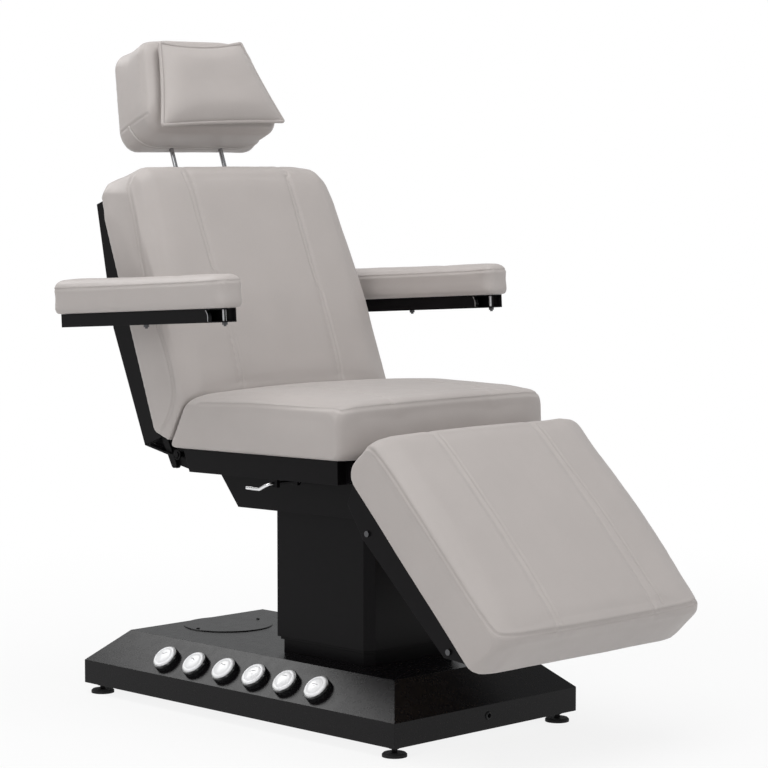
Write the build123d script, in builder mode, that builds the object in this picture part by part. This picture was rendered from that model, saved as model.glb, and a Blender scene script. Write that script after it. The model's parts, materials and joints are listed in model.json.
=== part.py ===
from build123d import *
import os
from math import atan, cos, degrees, radians, sin, tan

os.makedirs("parts", exist_ok=True)

# An electric treatment chair in its upright working position: a floor base with foot switches,
# a telescopic lifting column, a seat, a reclining backrest with armrests and headrest, and a leg rest.
# Lengths are in millimetres. +X points towards the feet, +Y to the sitter's left, +Z up, and the
# origin is on the floor under the axis of the lifting column.

# Clearances
soft_gap = 0.3       # between upholstery and what lies against it
seat_gap = 0.3       # between plain parts that rest on each other
run_gap = 0.06       # radial clearance of a shaft in its bearing
hole_gap = 0.3       # radial clearance of a fixed part in its hole
side_gap = 2.8       # between flat levers that turn beside each other
cut_over = 5.0       # how far a cut runs past the surface it opens

# Base: a sheet-steel cover over a thick floor plate, on four levelling feet
base_length = 960.0
base_width = 532.0
base_behind = 136.0      # how far the middle of the base lies behind the column's axis
foot_height = 22.0
band_height = 50.0
slope_height = 66.0
slope_inset = 72.0
cover_wall = 2.0
floor_thickness = 8.0
foot_margin = 27.6
foot_disc_radius = 25.0
foot_disc_height = 8.0
foot_disc_bevel = 3.0
foot_stud_radius = 6.0
foot_nut_flats = 19.0
foot_nut_height = 6.0
service_radius = 98.0
service_thickness = 2.0
service_from_rear = 173.0    # from the base's rear end to the middle of the service plate
service_screw_inset = 10.0
service_screw_radius = 4.0
service_screw_height = 2.0
inlet_radius = 8.0
inlet_depth = 22.0
inlet_stands = 3.0
inlet_bore = 5.0
inlet_height = 50.0
control_length = 190.0
control_width = 130.0
control_height = 62.0
control_from_rear = 180.0    # from the base's rear end to the middle of the box
control_corner = 6.0

# Foot switches: six on each long side
switch_count = 6
switch_pitch = 93.8
switch_drop = 9.0        # below the middle of the slope, measured along it
bezel_radius = 30.0
bezel_height = 12.0
bezel_chamfer = 2.0
body_radius = 27.0
body_depth = 26.0
cap_radius = 26.0
cap_gap = 0.6            # radial gap between cap and bezel
cap_travel = 3.0
cap_floor = 1.5          # recess floor above the slope
cap_rest_gap = 0.5       # left under the cap when it is pressed home
cap_side = 10.0
cap_dome = 2.8
stem_radius = 6.0
stem_depth = 20.0

# Lifting column
column_length = 292.0
column_width = 280.0
column_corner = 17.4
column_wall = 2.0
column_step = 5.0        # from the outside of one cover to the outside of the next
cover_rim_height = 10.0   # of the glide rims inside the sliding covers' lower ends
outer_cover_bottom = 170.0
middle_cover_bottom = 164.0
middle_cover_top = 424.0
inner_cover_top = 410.0
mast_outer_width = 130.0
mast_outer_top = 392.0
mast_inner_width = 108.0
mast_wall = 5.0
mast_corner = 8.0
mast_inner_bottom = 62.0
mast_flange_width = 210.0
mast_flange_thickness = 10.0
guide_height = 36.0
guide_width = 40.0
guide_below_top = 6.0
actuator_radius = 22.0
actuator_top = 380.0
actuator_offset = 24.0   # from the column's axis to the tube's axis, and to the motor's
lift_rod_radius = 13.0
lift_rod_bottom = 84.0
lift_motor_radius = 20.0
lift_motor_height = 120.0
gearbox_height = 22.0

# Seat: the carrier stands on the column, the tray on the carrier, the cushion on the tray
seat_tilt = 1.2
seat_datum = 568.5       # height of the tray's rim over the column's axis
tray_rear = 273.0        # behind the column's axis
tray_front = 191.0
tray_half_width = 272.0
tray_depth = 48.0
tray_wall = 3.0
tray_slant = 18.0
carrier_inset = 85.0     # from the tray's sides to the carrier's
carrier_depth = 77.0
carrier_wall = 4.0
carrier_top_rear = 262.0
carrier_top_front = 184.0
carrier_bottom_rear = 200.0
carrier_bottom_front = 162.0
saddle_length = 20.0
seat_board_thickness = 12.0
seat_rear = 288.5
seat_front = 228.0
seat_overhang = 30.0     # of the cushion past the tray's sides
seat_thickness = 122.0
seat_lean = 30.0         # of the seat's rear face and the back's lower face, from upright

# Backrest, in its side view: along it from the hinge upwards, and forward or behind square to it
back_tilt = 20.0
back_hinge_behind = 294.0
back_hinge_height = 548.0
plate_thickness = 4.0
pin_radius = 6.0
lug_radius = 14.0
ear_thickness = 5.0
back_plate_knee = 44.0
back_plate_knee_depth = 58.0
back_plate_deep_low = 105.6
back_plate_deep_high = 311.0
back_plate_depth = 106.0
back_plate_top = 576.0
back_plate_top_depth = 66.0
back_board_behind = 23.0
back_board_thickness = 15.0
back_board_low = 84.0
back_board_high = 594.0
back_board_overhang = 2.0    # of the board past the side plates
back_board_corner = 30.0
back_low = 55.0
back_heel = 26.6
back_heel_forward = 18.0
back_length = 612.0
back_overhang = 31.0     # of the cushion past the side plates
back_skirt = 17.0        # of the cushion round the board's edges
back_face = 106.0
rail_side = 30.0
rail_wall = 2.0
lower_rail_along = 122.0
lower_rail_behind = 86.0
middle_rail_along = 445.0
upper_rail_along = 560.0

# Headrest
post_radius = 5.0
post_behind = 16.0
post_half_pitch = 71.0
post_low = 470.0
post_high = 765.0
sleeve_radius = 7.0
sleeve_low = 430.0
sleeve_high = 594.0
block_low = 684.0
block_low_rise = 20.0    # of its underside, from the rear to the front
block_high = 903.0       # at its sides
block_crown = 7.0        # how much higher its middle is
block_crown_radius = 120.0
block_low_half_width = 198.0
block_high_half_width = 158.0
block_behind = 50.0
block_front = 76.0
block_corner = 36.0
block_round = 20.0
face_hole_half_width = 74.0
face_hole_half_height = 56.0
face_hole_along = 806.0
pillow_low = 706.0
pillow_high = 890.0
pillow_low_half_width = 176.0
pillow_high_half_width = 117.0
pillow_thickness = 36.0
pillow_corner = 18.0
pillow_round = 60.0

# Leg rest, in its side view: along it from the hinge downwards, and up or below square to it
leg_drop = 46.0
leg_hinge_front = 244.0
leg_hinge_height = 553.0
leg_plate_inset = 10.0   # from the tray's sides to the plates'
leg_pin_radius = 5.0
leg_lug_radius = 9.0
leg_plate_knee = 22.0
leg_plate_knee_depth = 70.0
leg_plate_deep_high = 100.0
leg_plate_depth = 84.0
leg_plate_deep_low = 400.0
leg_plate_deep_low_depth = 68.0
leg_plate_end = 472.0
leg_overlap = 13.8       # how far the pad reaches back past the hinge
leg_length = 508.0
leg_overhang = 39.0      # of the cushion past the side plates
leg_skirt = 12.0         # of the cushion round the board's edges
leg_bottom = 7.0
leg_thickness = 110.0
leg_heel_radius = 30.0
leg_board_thickness = 12.0
leg_board_start = 34.0
leg_board_end = 474.0
leg_rail_first = 70.0
leg_rail_middle = 300.0
leg_rail_last = 420.0
leg_bolt_first = 100.0
leg_bolt_first_depth = 66.0
leg_bolt_last = 400.0
leg_bolt_last_depth = 50.0
leg_bolt_radius = 6.0
leg_bolt_height = 4.0

# Armrests, kept level by a crank and a link beside the backrest
arm_tilt = 3.6
arm_pivot_along = 316.0    # from the backrest's hinge, up the back
arm_pivot_behind = 49.0
arm_offset = 82.5        # from the back cushion's side to the middle of an armrest
bar_width = 30.0
bar_height = 28.0
bar_wall = 2.5
bar_behind = 66.0
bar_front = 455.0
bar_cut_start = 370.0
bar_cut_bow = 6.0
pad_behind = 76.0
pad_front = 462.0
pad_half_width = 34.0
pad_thickness = 64.0
pad_corner = 20.0
pad_round = 15.0
arm_bolt_rear = 194.0
arm_bolt_front = 437.0
arm_bolt_radius = 3.0
arm_bolt_stands = 3.0
arm_nut_flats = 10.0
arm_nut_height = 5.0
shaft_radius = 8.0
crank_radius = 9.0
crank_behind = 18.0
crank_below = 22.0
link_width = 16.0
link_thickness = 4.4
link_pin_radius = 3.0

# Tilt actuators, each pushing a fork with its rod
tilt_lever = 80.0
back_lever_angle = 35.0
leg_lever_angle = 23.0
tilt_actuator_offset = 80.0  # from the middle of the seat
tilt_motor_offset = 40.0
tilt_motor_radius = 18.0
tilt_tube_radius = 18.0
tilt_tube_length = 215.0
tilt_end_thickness = 20.0
tilt_rod_radius = 8.0
tilt_rod_length = 205.0
back_tube_start = 150.0      # from the rod's eye to the mouth of its tube, at rest
leg_tube_start = 90.0
fork_thickness = 5.0
fork_gap = 2.0
eye_thickness = 12.0
eye_radius = 13.0
eye_bore = 5.0

# Release handles under the seat's edges
handle_front = 3.0
handle_height = 512.0
handle_radius = 4.0
handle_inset = 7.0       # from the carrier's side to the rod's inner end
handle_overhang = 13.0   # of the grip past the tray's side
handle_drop = 12.0
handle_reach = 25.0
handle_grip = 38.0
handle_bend = 9.0
cam_radius = 7.5
cam_thickness = 6.0
bearing_half_width = 8.0
bearing_thickness = 8.0

# Sewn pads: the face is highest in the middle and dips at two channels, rounds over at the sides,
# and the lower edge tucks in. Each row of shares is a width, a fall and a pull at that width.
shoulder_shares = ((1.0, 1.0, 1.0), (0.97, 0.42, 0.45), (0.91, 0.13, 0.15), (0.82, 0.0, 0.0))
channel_width = 7.0
channel_depth = 5.0
channel_place = 143.0
crown_rise = 9.0
shoulder_fall = 18.0
tuck_in = 5.0
edge_radius = 5.0
seam_radius = 14.0
face_radius = 24.0
top_radius = 36.0
bow_radius = 900.0
seat_arch = 9.0
seat_end_pull = 13.0
back_arch = 4.0
back_end_pull_share = 0.196    # of the cushion's length
back_bow_share = 1.47
back_end_fall = 54.0
back_rear_pull = 50.0
leg_arch = 5.0
leg_end_pull = 15.0

# Shares of depth and of rounding, from the rear or the bottom of a pad to its face
block_shares = ((0.0, 0.9), (0.07, 0.22), (0.18, 0.0), (0.5, 0.14), (0.82, 0.0), (0.94, 0.28), (1.0, 1.0))
pillow_shares = (
    (0.0, 0.22), (0.14, 0.07), (0.22, 0.0), (0.36, 0.0), (0.44, 0.08), (0.7, 0.3), (0.9, 0.68), (1.0, 1.0),
)
arm_pad_shares = ((0.0, 0.27), (0.14, 0.0), (0.5, 0.08), (0.76, 0.0), (0.92, 0.33), (1.0, 1.0))

# Worked-out places
band_top = foot_height + band_height
deck = band_top + slope_height
slope_lean = atan(slope_inset / slope_height)
floor_top = foot_height + floor_thickness
base_front = base_length / 2 - base_behind
back_end_pull = back_length * back_end_pull_share
back_bow_radius = back_length * back_bow_share
service_place = service_from_rear - base_length / 2 - base_behind
control_place = control_from_rear - base_length / 2 - base_behind
carrier_half_width = tray_half_width - carrier_inset
back_plate_half_width = tray_half_width
leg_plate_half_width = tray_half_width - leg_plate_inset
back_board_half_width = back_plate_half_width + back_board_overhang
seat_half_width = tray_half_width + seat_overhang
back_half_width = back_plate_half_width + back_overhang
leg_half_width = leg_plate_half_width + leg_overhang
arm_centre = back_half_width + arm_offset
handle_inner = carrier_half_width + handle_inset
handle_outer = tray_half_width + handle_overhang
back_up = Vector(-sin(radians(back_tilt)), 0, cos(radians(back_tilt)))
back_forward = Vector(cos(radians(back_tilt)), 0, sin(radians(back_tilt)))
leg_along = Vector(cos(radians(leg_drop)), 0, -sin(radians(leg_drop)))
seat_along = Vector(cos(radians(seat_tilt)), 0, sin(radians(seat_tilt)))
seat_up = Vector(-sin(radians(seat_tilt)), 0, cos(radians(seat_tilt)))
arm_along = Vector(cos(radians(arm_tilt)), 0, sin(radians(arm_tilt)))
arm_up = Vector(-sin(radians(arm_tilt)), 0, cos(radians(arm_tilt)))
back_hinge = Vector(-back_hinge_behind, 0, back_hinge_height)
leg_hinge = Vector(leg_hinge_front, 0, leg_hinge_height)
arm_pivot = back_hinge + back_up * arm_pivot_along - back_forward * arm_pivot_behind
crank = Vector(-crank_behind, 0, -crank_below)
handle = Vector(handle_front, 0, handle_height)
back_lever = Vector(sin(radians(back_lever_angle)), 0, cos(radians(back_lever_angle)))
leg_lever = Vector(sin(radians(leg_lever_angle)), 0, cos(radians(leg_lever_angle)))
back_fork = back_hinge - back_lever * tilt_lever
leg_fork = leg_hinge - leg_lever * tilt_lever
back_ear = back_plate_half_width - plate_thickness - 2 * side_gap - link_thickness - ear_thickness
link_inner = back_ear + ear_thickness + side_gap
leg_ear = leg_plate_half_width - plate_thickness - 3 * ear_thickness
column_top = Plane(
    origin=Vector(0, 0, seat_datum) - seat_up * (tray_depth + carrier_depth + seat_gap),
    x_dir=seat_along,
    z_dir=seat_up,
)
column_reach = column_top.origin.Z + column_length * tan(radians(seat_tilt))
heel_slope = tan(radians(90 - back_tilt - seat_lean))
back_rear = soft_gap + back_board_thickness - back_board_behind
rail_behind = back_board_behind + seat_gap + rail_side / 2
leg_board_below = seat_gap + leg_board_thickness - leg_bottom
leg_plate_face = leg_board_below + seat_gap
leg_rail_below = leg_plate_face + rail_side / 2
foot_places = [
    (i * (base_length / 2 - foot_margin) - base_behind, j * (base_width / 2 - foot_margin))
    for i in (-1, 1)
    for j in (-1, 1)
]
sides = ((-1, "right"), (1, "left"))


def world_side(y):
    """Plain side view at the width y, in the frame's own X and Z."""
    return Plane(origin=(0, y, 0), x_dir=(1, 0, 0), z_dir=(0, -1, 0))


def seat_side(y):
    """Side view of the seat: x runs to the front and y up, from the tray's rim over the column."""
    return Plane(origin=(0, y, seat_datum), x_dir=seat_along, z_dir=(0, -1, 0))


def back_side(y):
    """Side view of the backrest: x runs up the back and y forward, from its hinge."""
    return Plane(origin=(back_hinge.X, y, back_hinge.Z), x_dir=back_up, z_dir=(0, 1, 0))


def back_layer(forward):
    """Layer of the backrest so far in front of its hinge: x runs to the right and y up the back."""
    return Plane(origin=back_hinge + back_forward * forward, x_dir=(0, -1, 0), z_dir=-back_forward)


def back_section(along):
    """Section across the backrest so far up it: x runs to the right and y forward."""
    return Plane(origin=back_hinge + back_up * along, x_dir=(0, -1, 0), z_dir=back_up)


def leg_side(y):
    """Side view of the leg rest: x runs down the leg and y up out of it, from its hinge."""
    return Plane(origin=(leg_hinge.X, y, leg_hinge.Z), x_dir=leg_along, z_dir=(0, -1, 0))


def arm_side(y):
    """Side view of an armrest: x runs to the front and y up, from its pivot."""
    return Plane(origin=(arm_pivot.X, y, arm_pivot.Z), x_dir=arm_along, z_dir=(0, -1, 0))


def arm_layer(up, y):
    """Layer of an armrest so far above its pivot: x runs to the front and y to the left."""
    return Plane(origin=Vector(arm_pivot.X, y, arm_pivot.Z) + arm_up * up, x_dir=arm_along, z_dir=arm_up)


def outward(point, y, side):
    """Plane at a point of the side view and the width y, facing out to one side."""
    return Plane(origin=(point.X, side * y, point.Z), x_dir=(1, 0, 0), z_dir=(0, side, 0))


def flat(plane, point):
    """A point of the frame in a plane's own coordinates."""
    local = plane.to_local_coords(point)
    return (local.X, local.Y)


def polygon(plane, *points):
    """Closed outline with straight sides."""
    with BuildSketch(plane) as outline:
        with BuildLine():
            Polyline(*points, close=True)
        make_face()
    return outline.sketch


def soft_polygon(plane, points, radii):
    """Closed outline with rounded corners."""
    with BuildSketch(plane) as outline:
        with BuildLine():
            FilletPolyline(*points, radius=radii, close=True)
        make_face()
    return outline.sketch


def disc(plane, radius):
    """Round outline about a plane's origin."""
    with BuildSketch(plane) as outline:
        Circle(radius)
    return outline.sketch


def bar_between(plane, start, end, half_width):
    """Straight bar from one point of a side view to another, with round ends."""
    first, last = Vector(*flat(plane, start)), Vector(*flat(plane, end))
    across = (last - first).normalized().rotate(Axis.Z, 90) * half_width
    with BuildSketch(plane) as outline:
        with BuildLine():
            Polyline(first + across, last + across, last - across, first - across, close=True)
        make_face()
        with Locations(first, last):
            Circle(half_width)
    return outline.sketch


def save(piece, name):
    """Labels a finished piece and writes it."""
    piece.part.label = name
    export_step(piece.part, "parts/" + name + ".step")


def switch_plane(side, number):
    """Plane on the base's slope at a foot switch, facing out of the slope."""
    x = (number - (switch_count - 1) / 2) * switch_pitch - base_behind
    y = base_width / 2 - slope_inset / 2 + switch_drop * sin(slope_lean)
    z = band_top + slope_height / 2 - switch_drop * cos(slope_lean)
    return Plane(origin=(x, side * y, z), x_dir=(1, 0, 0), z_dir=(0, side * cos(slope_lean), sin(slope_lean)))


def switch_section(side, number):
    """Plane through a foot switch's axis: x along the base and y out of the slope."""
    seat = switch_plane(side, number)
    return Plane(origin=seat.origin, x_dir=seat.x_dir, z_dir=seat.x_dir.cross(seat.z_dir))


def column_outline(inset, bottom):
    """Rectangle of the column's covers with its corners cut off, drawn in by an inset."""
    with BuildSketch(Plane.XY.offset(bottom)) as outline:
        Rectangle(column_length - 2 * inset, column_width - 2 * inset)
        chamfer(outline.vertices(), length=column_corner)
    return outline.sketch


def tube_outline(side, wall, corner, bottom):
    """Square tube section with rounded corners."""
    with BuildSketch(Plane.XY.offset(bottom)) as outline:
        RectangleRounded(side, side, corner)
        RectangleRounded(side - 2 * wall, side - 2 * wall, corner - wall, mode=Mode.SUBTRACT)
    return outline.sketch


# Base cover: a pressed hood, open underneath, with the column's opening and the switch holes
with BuildPart() as base_cover:
    with BuildSketch(Plane.XY.offset(foot_height)):
        with Locations((-base_behind, 0)):
            Rectangle(base_length, base_width)
    extrude(amount=band_height)
    extrude(base_cover.faces().sort_by(Axis.Z)[-1], amount=slope_height, taper=degrees(slope_lean))
    offset(amount=-cover_wall, openings=base_cover.faces().sort_by(Axis.Z)[0])
    extrude(column_outline(2 * column_step - hole_gap, deck), amount=cut_over, both=True, mode=Mode.SUBTRACT)
    for side, side_name in sides:
        for number in range(switch_count):
            hole = disc(switch_plane(side, number), body_radius + hole_gap)
            extrude(hole, amount=cut_over, both=True, mode=Mode.SUBTRACT)
    hole = disc(Plane(origin=(base_front, 0, inlet_height), z_dir=(1, 0, 0)), inlet_radius + hole_gap)
    extrude(hole, amount=cut_over, both=True, mode=Mode.SUBTRACT)
save(base_cover, "base_cover")

# Floor plate inside the cover's rim, drilled for the feet
with BuildPart() as floor_plate:
    with BuildSketch(Plane.XY.offset(foot_height)):
        with Locations((-base_behind, 0)):
            rim = 2 * (cover_wall + seat_gap)
            Rectangle(base_length - rim, base_width - rim)
        with Locations(*foot_places):
            Circle(foot_stud_radius + run_gap, mode=Mode.SUBTRACT)
    extrude(amount=floor_thickness)
save(floor_plate, "floor_plate")

# Levelling feet: threaded studs with a hexagon, standing in rubber discs
with BuildPart() as foot_studs:
    with BuildSketch(Plane.XY.offset(foot_disc_height / 2)):
        with Locations(*foot_places):
            Circle(foot_stud_radius)
    extrude(amount=floor_top + foot_nut_height - foot_disc_height / 2)
    with BuildSketch(Plane.XY.offset(foot_height - foot_nut_height - seat_gap)):
        with Locations(*foot_places):
            RegularPolygon(foot_nut_flats / 2, 6, major_radius=False)
    extrude(amount=foot_nut_height)
save(foot_studs, "foot_studs")

with BuildPart() as foot_discs:
    with BuildSketch(Plane.XY):
        with Locations(*foot_places):
            Circle(foot_disc_radius)
    extrude(amount=foot_disc_height)
    chamfer(foot_discs.edges().group_by(Axis.Z)[-1], length=foot_disc_bevel)
    with BuildSketch(Plane.XY.offset(foot_disc_height / 2)):
        with Locations(*foot_places):
            Circle(foot_stud_radius + run_gap)
    extrude(amount=foot_disc_height, mode=Mode.SUBTRACT)
save(foot_discs, "foot_discs")

# Service plate on the deck behind the column, with two screws
with BuildPart() as service_plate:
    with BuildSketch(Plane.XY.offset(deck)):
        with Locations((service_place, 0)):
            Circle(service_radius)
    extrude(amount=service_thickness)
    chamfer(service_plate.edges().group_by(Axis.Z)[-1], length=service_thickness / 2)
save(service_plate, "service_plate")

with BuildPart() as service_screws:
    with BuildSketch(Plane.XY.offset(deck + service_thickness)):
        with Locations((service_place, 0)):
            with GridLocations(0, 2 * (service_radius - service_screw_inset), 1, 2):
                Circle(service_screw_radius)
    extrude(amount=service_screw_height)
    chamfer(service_screws.edges().group_by(Axis.Z)[-1], length=service_screw_height / 2)
save(service_screws, "service_screws")

# Mains inlet in the front of the base: a round socket
with BuildPart() as mains_inlet:
    extrude(disc(Plane(origin=(base_front - inlet_depth, 0, inlet_height), z_dir=(1, 0, 0)), inlet_radius),
            amount=inlet_depth + inlet_stands)
    chamfer(mains_inlet.faces().sort_by(Axis.X)[-1].edges(), length=inlet_stands / 2)
    extrude(disc(Plane(origin=(base_front + inlet_stands, 0, inlet_height), z_dir=(1, 0, 0)), inlet_bore),
            amount=-inlet_depth / 2, mode=Mode.SUBTRACT)
save(mains_inlet, "mains_inlet")

# Control box on the floor plate
with BuildPart() as control_box:
    with BuildSketch(Plane.XY.offset(floor_top)):
        with Locations((control_place, 0)):
            RectangleRounded(control_length, control_width, control_corner)
    extrude(amount=control_height)
    fillet(control_box.faces().sort_by(Axis.Z)[-1].edges(), radius=control_corner / 2)
save(control_box, "control_box")

# Foot-switch housings: a bezel on the slope, a body below it, a recess for the cap and a stem guide
with BuildPart() as switch_housings:
    for side, side_name in sides:
        for number in range(switch_count):
            seat = switch_plane(side, number)
            bore = stem_radius + run_gap
            ring = polygon(
                switch_section(side, number),
                (bore, -body_depth),
                (body_radius, -body_depth),
                (body_radius, 0),
                (bezel_radius, 0),
                (bezel_radius, bezel_height - bezel_chamfer),
                (bezel_radius - bezel_chamfer, bezel_height),
                (cap_radius + cap_gap, bezel_height),
                (cap_radius + cap_gap, cap_floor),
                (bore, cap_floor),
            )
            revolve(ring, axis=Axis(seat.origin, seat.z_dir))
save(switch_housings, "switch_housings")

# Foot-switch caps: domed discs on guided stems
for side, side_name in sides:
    for number in range(switch_count):
        seat = switch_plane(side, number)
        cap_under = cap_floor + cap_travel + cap_rest_gap
        crest = (0, cap_under + cap_side + cap_dome)
        brow = (cap_radius * 2 / 3, cap_under + cap_side + cap_dome * 2 / 3)
        rim = (cap_radius, cap_under + cap_side)
        with BuildPart() as switch_cap:
            outline = polygon(
                switch_section(side, number),
                crest,
                brow,
                rim,
                (cap_radius, cap_under),
                (stem_radius, cap_under),
                (stem_radius, -stem_depth),
                (0, -stem_depth),
            )
            revolve(outline, axis=Axis(seat.origin, seat.z_dir))
        save(switch_cap, "switch_cap_" + side_name + "_" + str(number + 1))

# Column covers: fixed, half-way and moving, each a sheet tube with cut-off corners
with BuildPart() as column_cover_inner:
    extrude(column_outline(2 * column_step, floor_top), amount=inner_cover_top - floor_top)
    extrude(column_outline(2 * column_step + column_wall, floor_top), amount=inner_cover_top - floor_top,
            mode=Mode.SUBTRACT)
save(column_cover_inner, "column_cover_inner")

with BuildPart() as column_cover_middle:
    middle_height = middle_cover_top - middle_cover_bottom
    extrude(column_outline(column_step, middle_cover_bottom), amount=middle_height)
    extrude(column_outline(2 * column_step - seat_gap, middle_cover_bottom), amount=middle_height,
            mode=Mode.SUBTRACT)
    extrude(column_outline(column_step + column_wall, middle_cover_bottom + cover_rim_height),
            amount=middle_height, mode=Mode.SUBTRACT)
save(column_cover_middle, "column_cover_middle")

with BuildPart() as column_cover_outer:
    outer_height = column_reach - outer_cover_bottom
    extrude(column_outline(0, outer_cover_bottom), amount=outer_height)
    extrude(column_outline(column_step - seat_gap, outer_cover_bottom), amount=outer_height,
            mode=Mode.SUBTRACT)
    extrude(column_outline(column_wall, outer_cover_bottom + cover_rim_height), amount=outer_height,
            mode=Mode.SUBTRACT)
    split(bisect_by=column_top, keep=Keep.BOTTOM)
save(column_cover_outer, "column_cover_outer")

# Mast: a fixed square tube on a flange, and a moving one inside it that plastic pads guide
with BuildPart() as mast_outer:
    flange_reach = (mast_flange_width - mast_outer_width) / 2
    extrude(tube_outline(mast_flange_width, flange_reach + mast_wall, flange_reach + mast_corner, floor_top),
            amount=mast_flange_thickness)
    extrude(tube_outline(mast_outer_width, mast_wall, mast_corner, floor_top),
            amount=mast_outer_top - floor_top)
save(mast_outer, "mast_outer")

with BuildPart() as mast_inner:
    extrude(tube_outline(mast_inner_width, mast_wall, mast_corner, mast_inner_bottom),
            amount=column_reach - mast_inner_bottom)
    split(bisect_by=column_top, keep=Keep.BOTTOM)
save(mast_inner, "mast_inner")

with BuildPart() as mast_guides:
    guide_room = mast_outer_width / 2 - mast_wall - mast_inner_width / 2
    with BuildSketch(Plane.XY.offset(mast_outer_top - guide_below_top - guide_height)):
        with PolarLocations(mast_inner_width / 2 + guide_room / 2, 4):
            Rectangle(guide_room - 2 * run_gap, guide_width)
    extrude(amount=guide_height)
save(mast_guides, "mast_guides")

# Lift actuator: gearbox foot, motor and tube fixed to the base, and the rod that carries the seat
with BuildPart() as lift_actuator:
    with BuildSketch(Plane.XY.offset(floor_top)):
        RectangleRounded(2 * (actuator_offset + actuator_radius), 2 * actuator_radius, mast_corner)
    extrude(amount=gearbox_height)
    with BuildSketch(Plane.XY.offset(floor_top + gearbox_height)):
        with Locations((actuator_offset, 0)):
            Circle(actuator_radius)
            Circle(lift_rod_radius + run_gap, mode=Mode.SUBTRACT)
    extrude(amount=actuator_top - floor_top - gearbox_height)
    with BuildSketch(Plane.XY.offset(floor_top + gearbox_height)):
        with Locations((-actuator_offset, 0)):
            Circle(lift_motor_radius)
    extrude(amount=lift_motor_height)
save(lift_actuator, "lift_actuator")

with BuildPart() as lift_rod:
    with BuildSketch(Plane.XY.offset(lift_rod_bottom)):
        with Locations((actuator_offset, 0)):
            Circle(lift_rod_radius)
    extrude(amount=column_reach - lift_rod_bottom)
    split(bisect_by=column_top, keep=Keep.BOTTOM)
save(lift_rod, "lift_rod")

# Seat carrier: a trapezoid channel of folded plate on the column, with two actuator saddles
carrier_low = -tray_depth - carrier_depth
carrier_high = -tray_depth - seat_gap
with BuildPart() as seat_carrier:
    channel = polygon(
        seat_side(0),
        (-carrier_bottom_rear, carrier_low),
        (carrier_bottom_front, carrier_low),
        (carrier_top_front, carrier_high),
        (-carrier_top_rear, carrier_high),
    )
    extrude(channel, amount=carrier_half_width, both=True)
    trough = polygon(
        seat_side(0),
        (-carrier_top_rear - cut_over, carrier_low + carrier_wall),
        (carrier_top_front + cut_over, carrier_low + carrier_wall),
        (carrier_top_front + cut_over, carrier_high + cut_over),
        (-carrier_top_rear - cut_over, carrier_high + cut_over),
    )
    extrude(trough, amount=carrier_half_width - carrier_wall, both=True, mode=Mode.SUBTRACT)
    for y, middle, axis_height in (
        (tilt_actuator_offset, back_fork.X + back_tube_start + tilt_tube_length / 2, back_fork.Z),
        (-tilt_actuator_offset, leg_fork.X - leg_tube_start - tilt_tube_length / 2, leg_fork.Z),
    ):
        saddle_low = column_top.origin.Z
        saddle_high = axis_height - tilt_tube_radius - seat_gap
        saddle = polygon(
            world_side(y),
            (middle - saddle_length / 2, saddle_low),
            (middle + saddle_length / 2, saddle_low),
            (middle + saddle_length / 2, saddle_high),
            (middle - saddle_length / 2, saddle_high),
        )
        extrude(saddle, amount=tilt_tube_radius, both=True)
save(seat_carrier, "seat_carrier")

# Seat tray: a pan with a slanted rear wall, hinge ears behind and in front, and handle bearings
with BuildPart() as seat_tray:
    pan = polygon(
        seat_side(0),
        (tray_slant - tray_rear, -tray_depth),
        (tray_front, -tray_depth),
        (tray_front, 0),
        (-tray_rear, 0),
    )
    extrude(pan, amount=tray_half_width, both=True)
    hollow = polygon(
        seat_side(0),
        (tray_slant + tray_wall - tray_rear, tray_wall - tray_depth),
        (tray_front - tray_wall, tray_wall - tray_depth),
        (tray_front - tray_wall, cut_over),
        (tray_wall - tray_rear, cut_over),
    )
    extrude(hollow, amount=tray_half_width - tray_wall, both=True, mode=Mode.SUBTRACT)
    for side, side_name in sides:
        view = seat_side(side * (back_ear + ear_thickness / 2))
        ear = polygon(
            view,
            (tray_slant + tray_wall - tray_rear, -tray_depth),
            (tray_wall - tray_rear, 0),
            flat(view, back_hinge),
            flat(view, back_hinge + crank),
        )
        extrude(ear, amount=ear_thickness / 2, both=True)
        lower_crank = bar_between(view, back_hinge, back_hinge + crank, crank_radius)
        extrude(lower_crank, amount=ear_thickness / 2, both=True)
        extrude(disc(outward(back_hinge, back_ear, side), lug_radius), amount=ear_thickness)
        view = seat_side(side * (leg_ear + ear_thickness / 2))
        ear = polygon(
            view,
            (tray_front - tray_wall, -tray_depth),
            flat(view, leg_hinge - seat_up * leg_lug_radius),
            flat(view, leg_hinge + seat_up * leg_lug_radius),
            (tray_front - tray_wall, 0),
        )
        extrude(ear, amount=ear_thickness / 2, both=True)
        extrude(disc(outward(leg_hinge, leg_ear, side), leg_lug_radius), amount=ear_thickness)
        for y in (handle_inner + cam_thickness + bearing_thickness, tray_half_width - bearing_thickness):
            view = seat_side(side * y)
            place, height = flat(view, handle)
            boss = polygon(
                view,
                (place - bearing_half_width, height - bearing_half_width),
                (place + bearing_half_width, height - bearing_half_width),
                (place + bearing_half_width, -tray_depth),
                (place - bearing_half_width, -tray_depth),
            )
            extrude(boss, amount=bearing_thickness / 2, both=True)
            bearing = disc(outward(handle, y - bearing_thickness, side), handle_radius + run_gap)
            extrude(bearing, amount=2 * bearing_thickness, mode=Mode.SUBTRACT)
save(seat_tray, "seat_tray")

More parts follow.
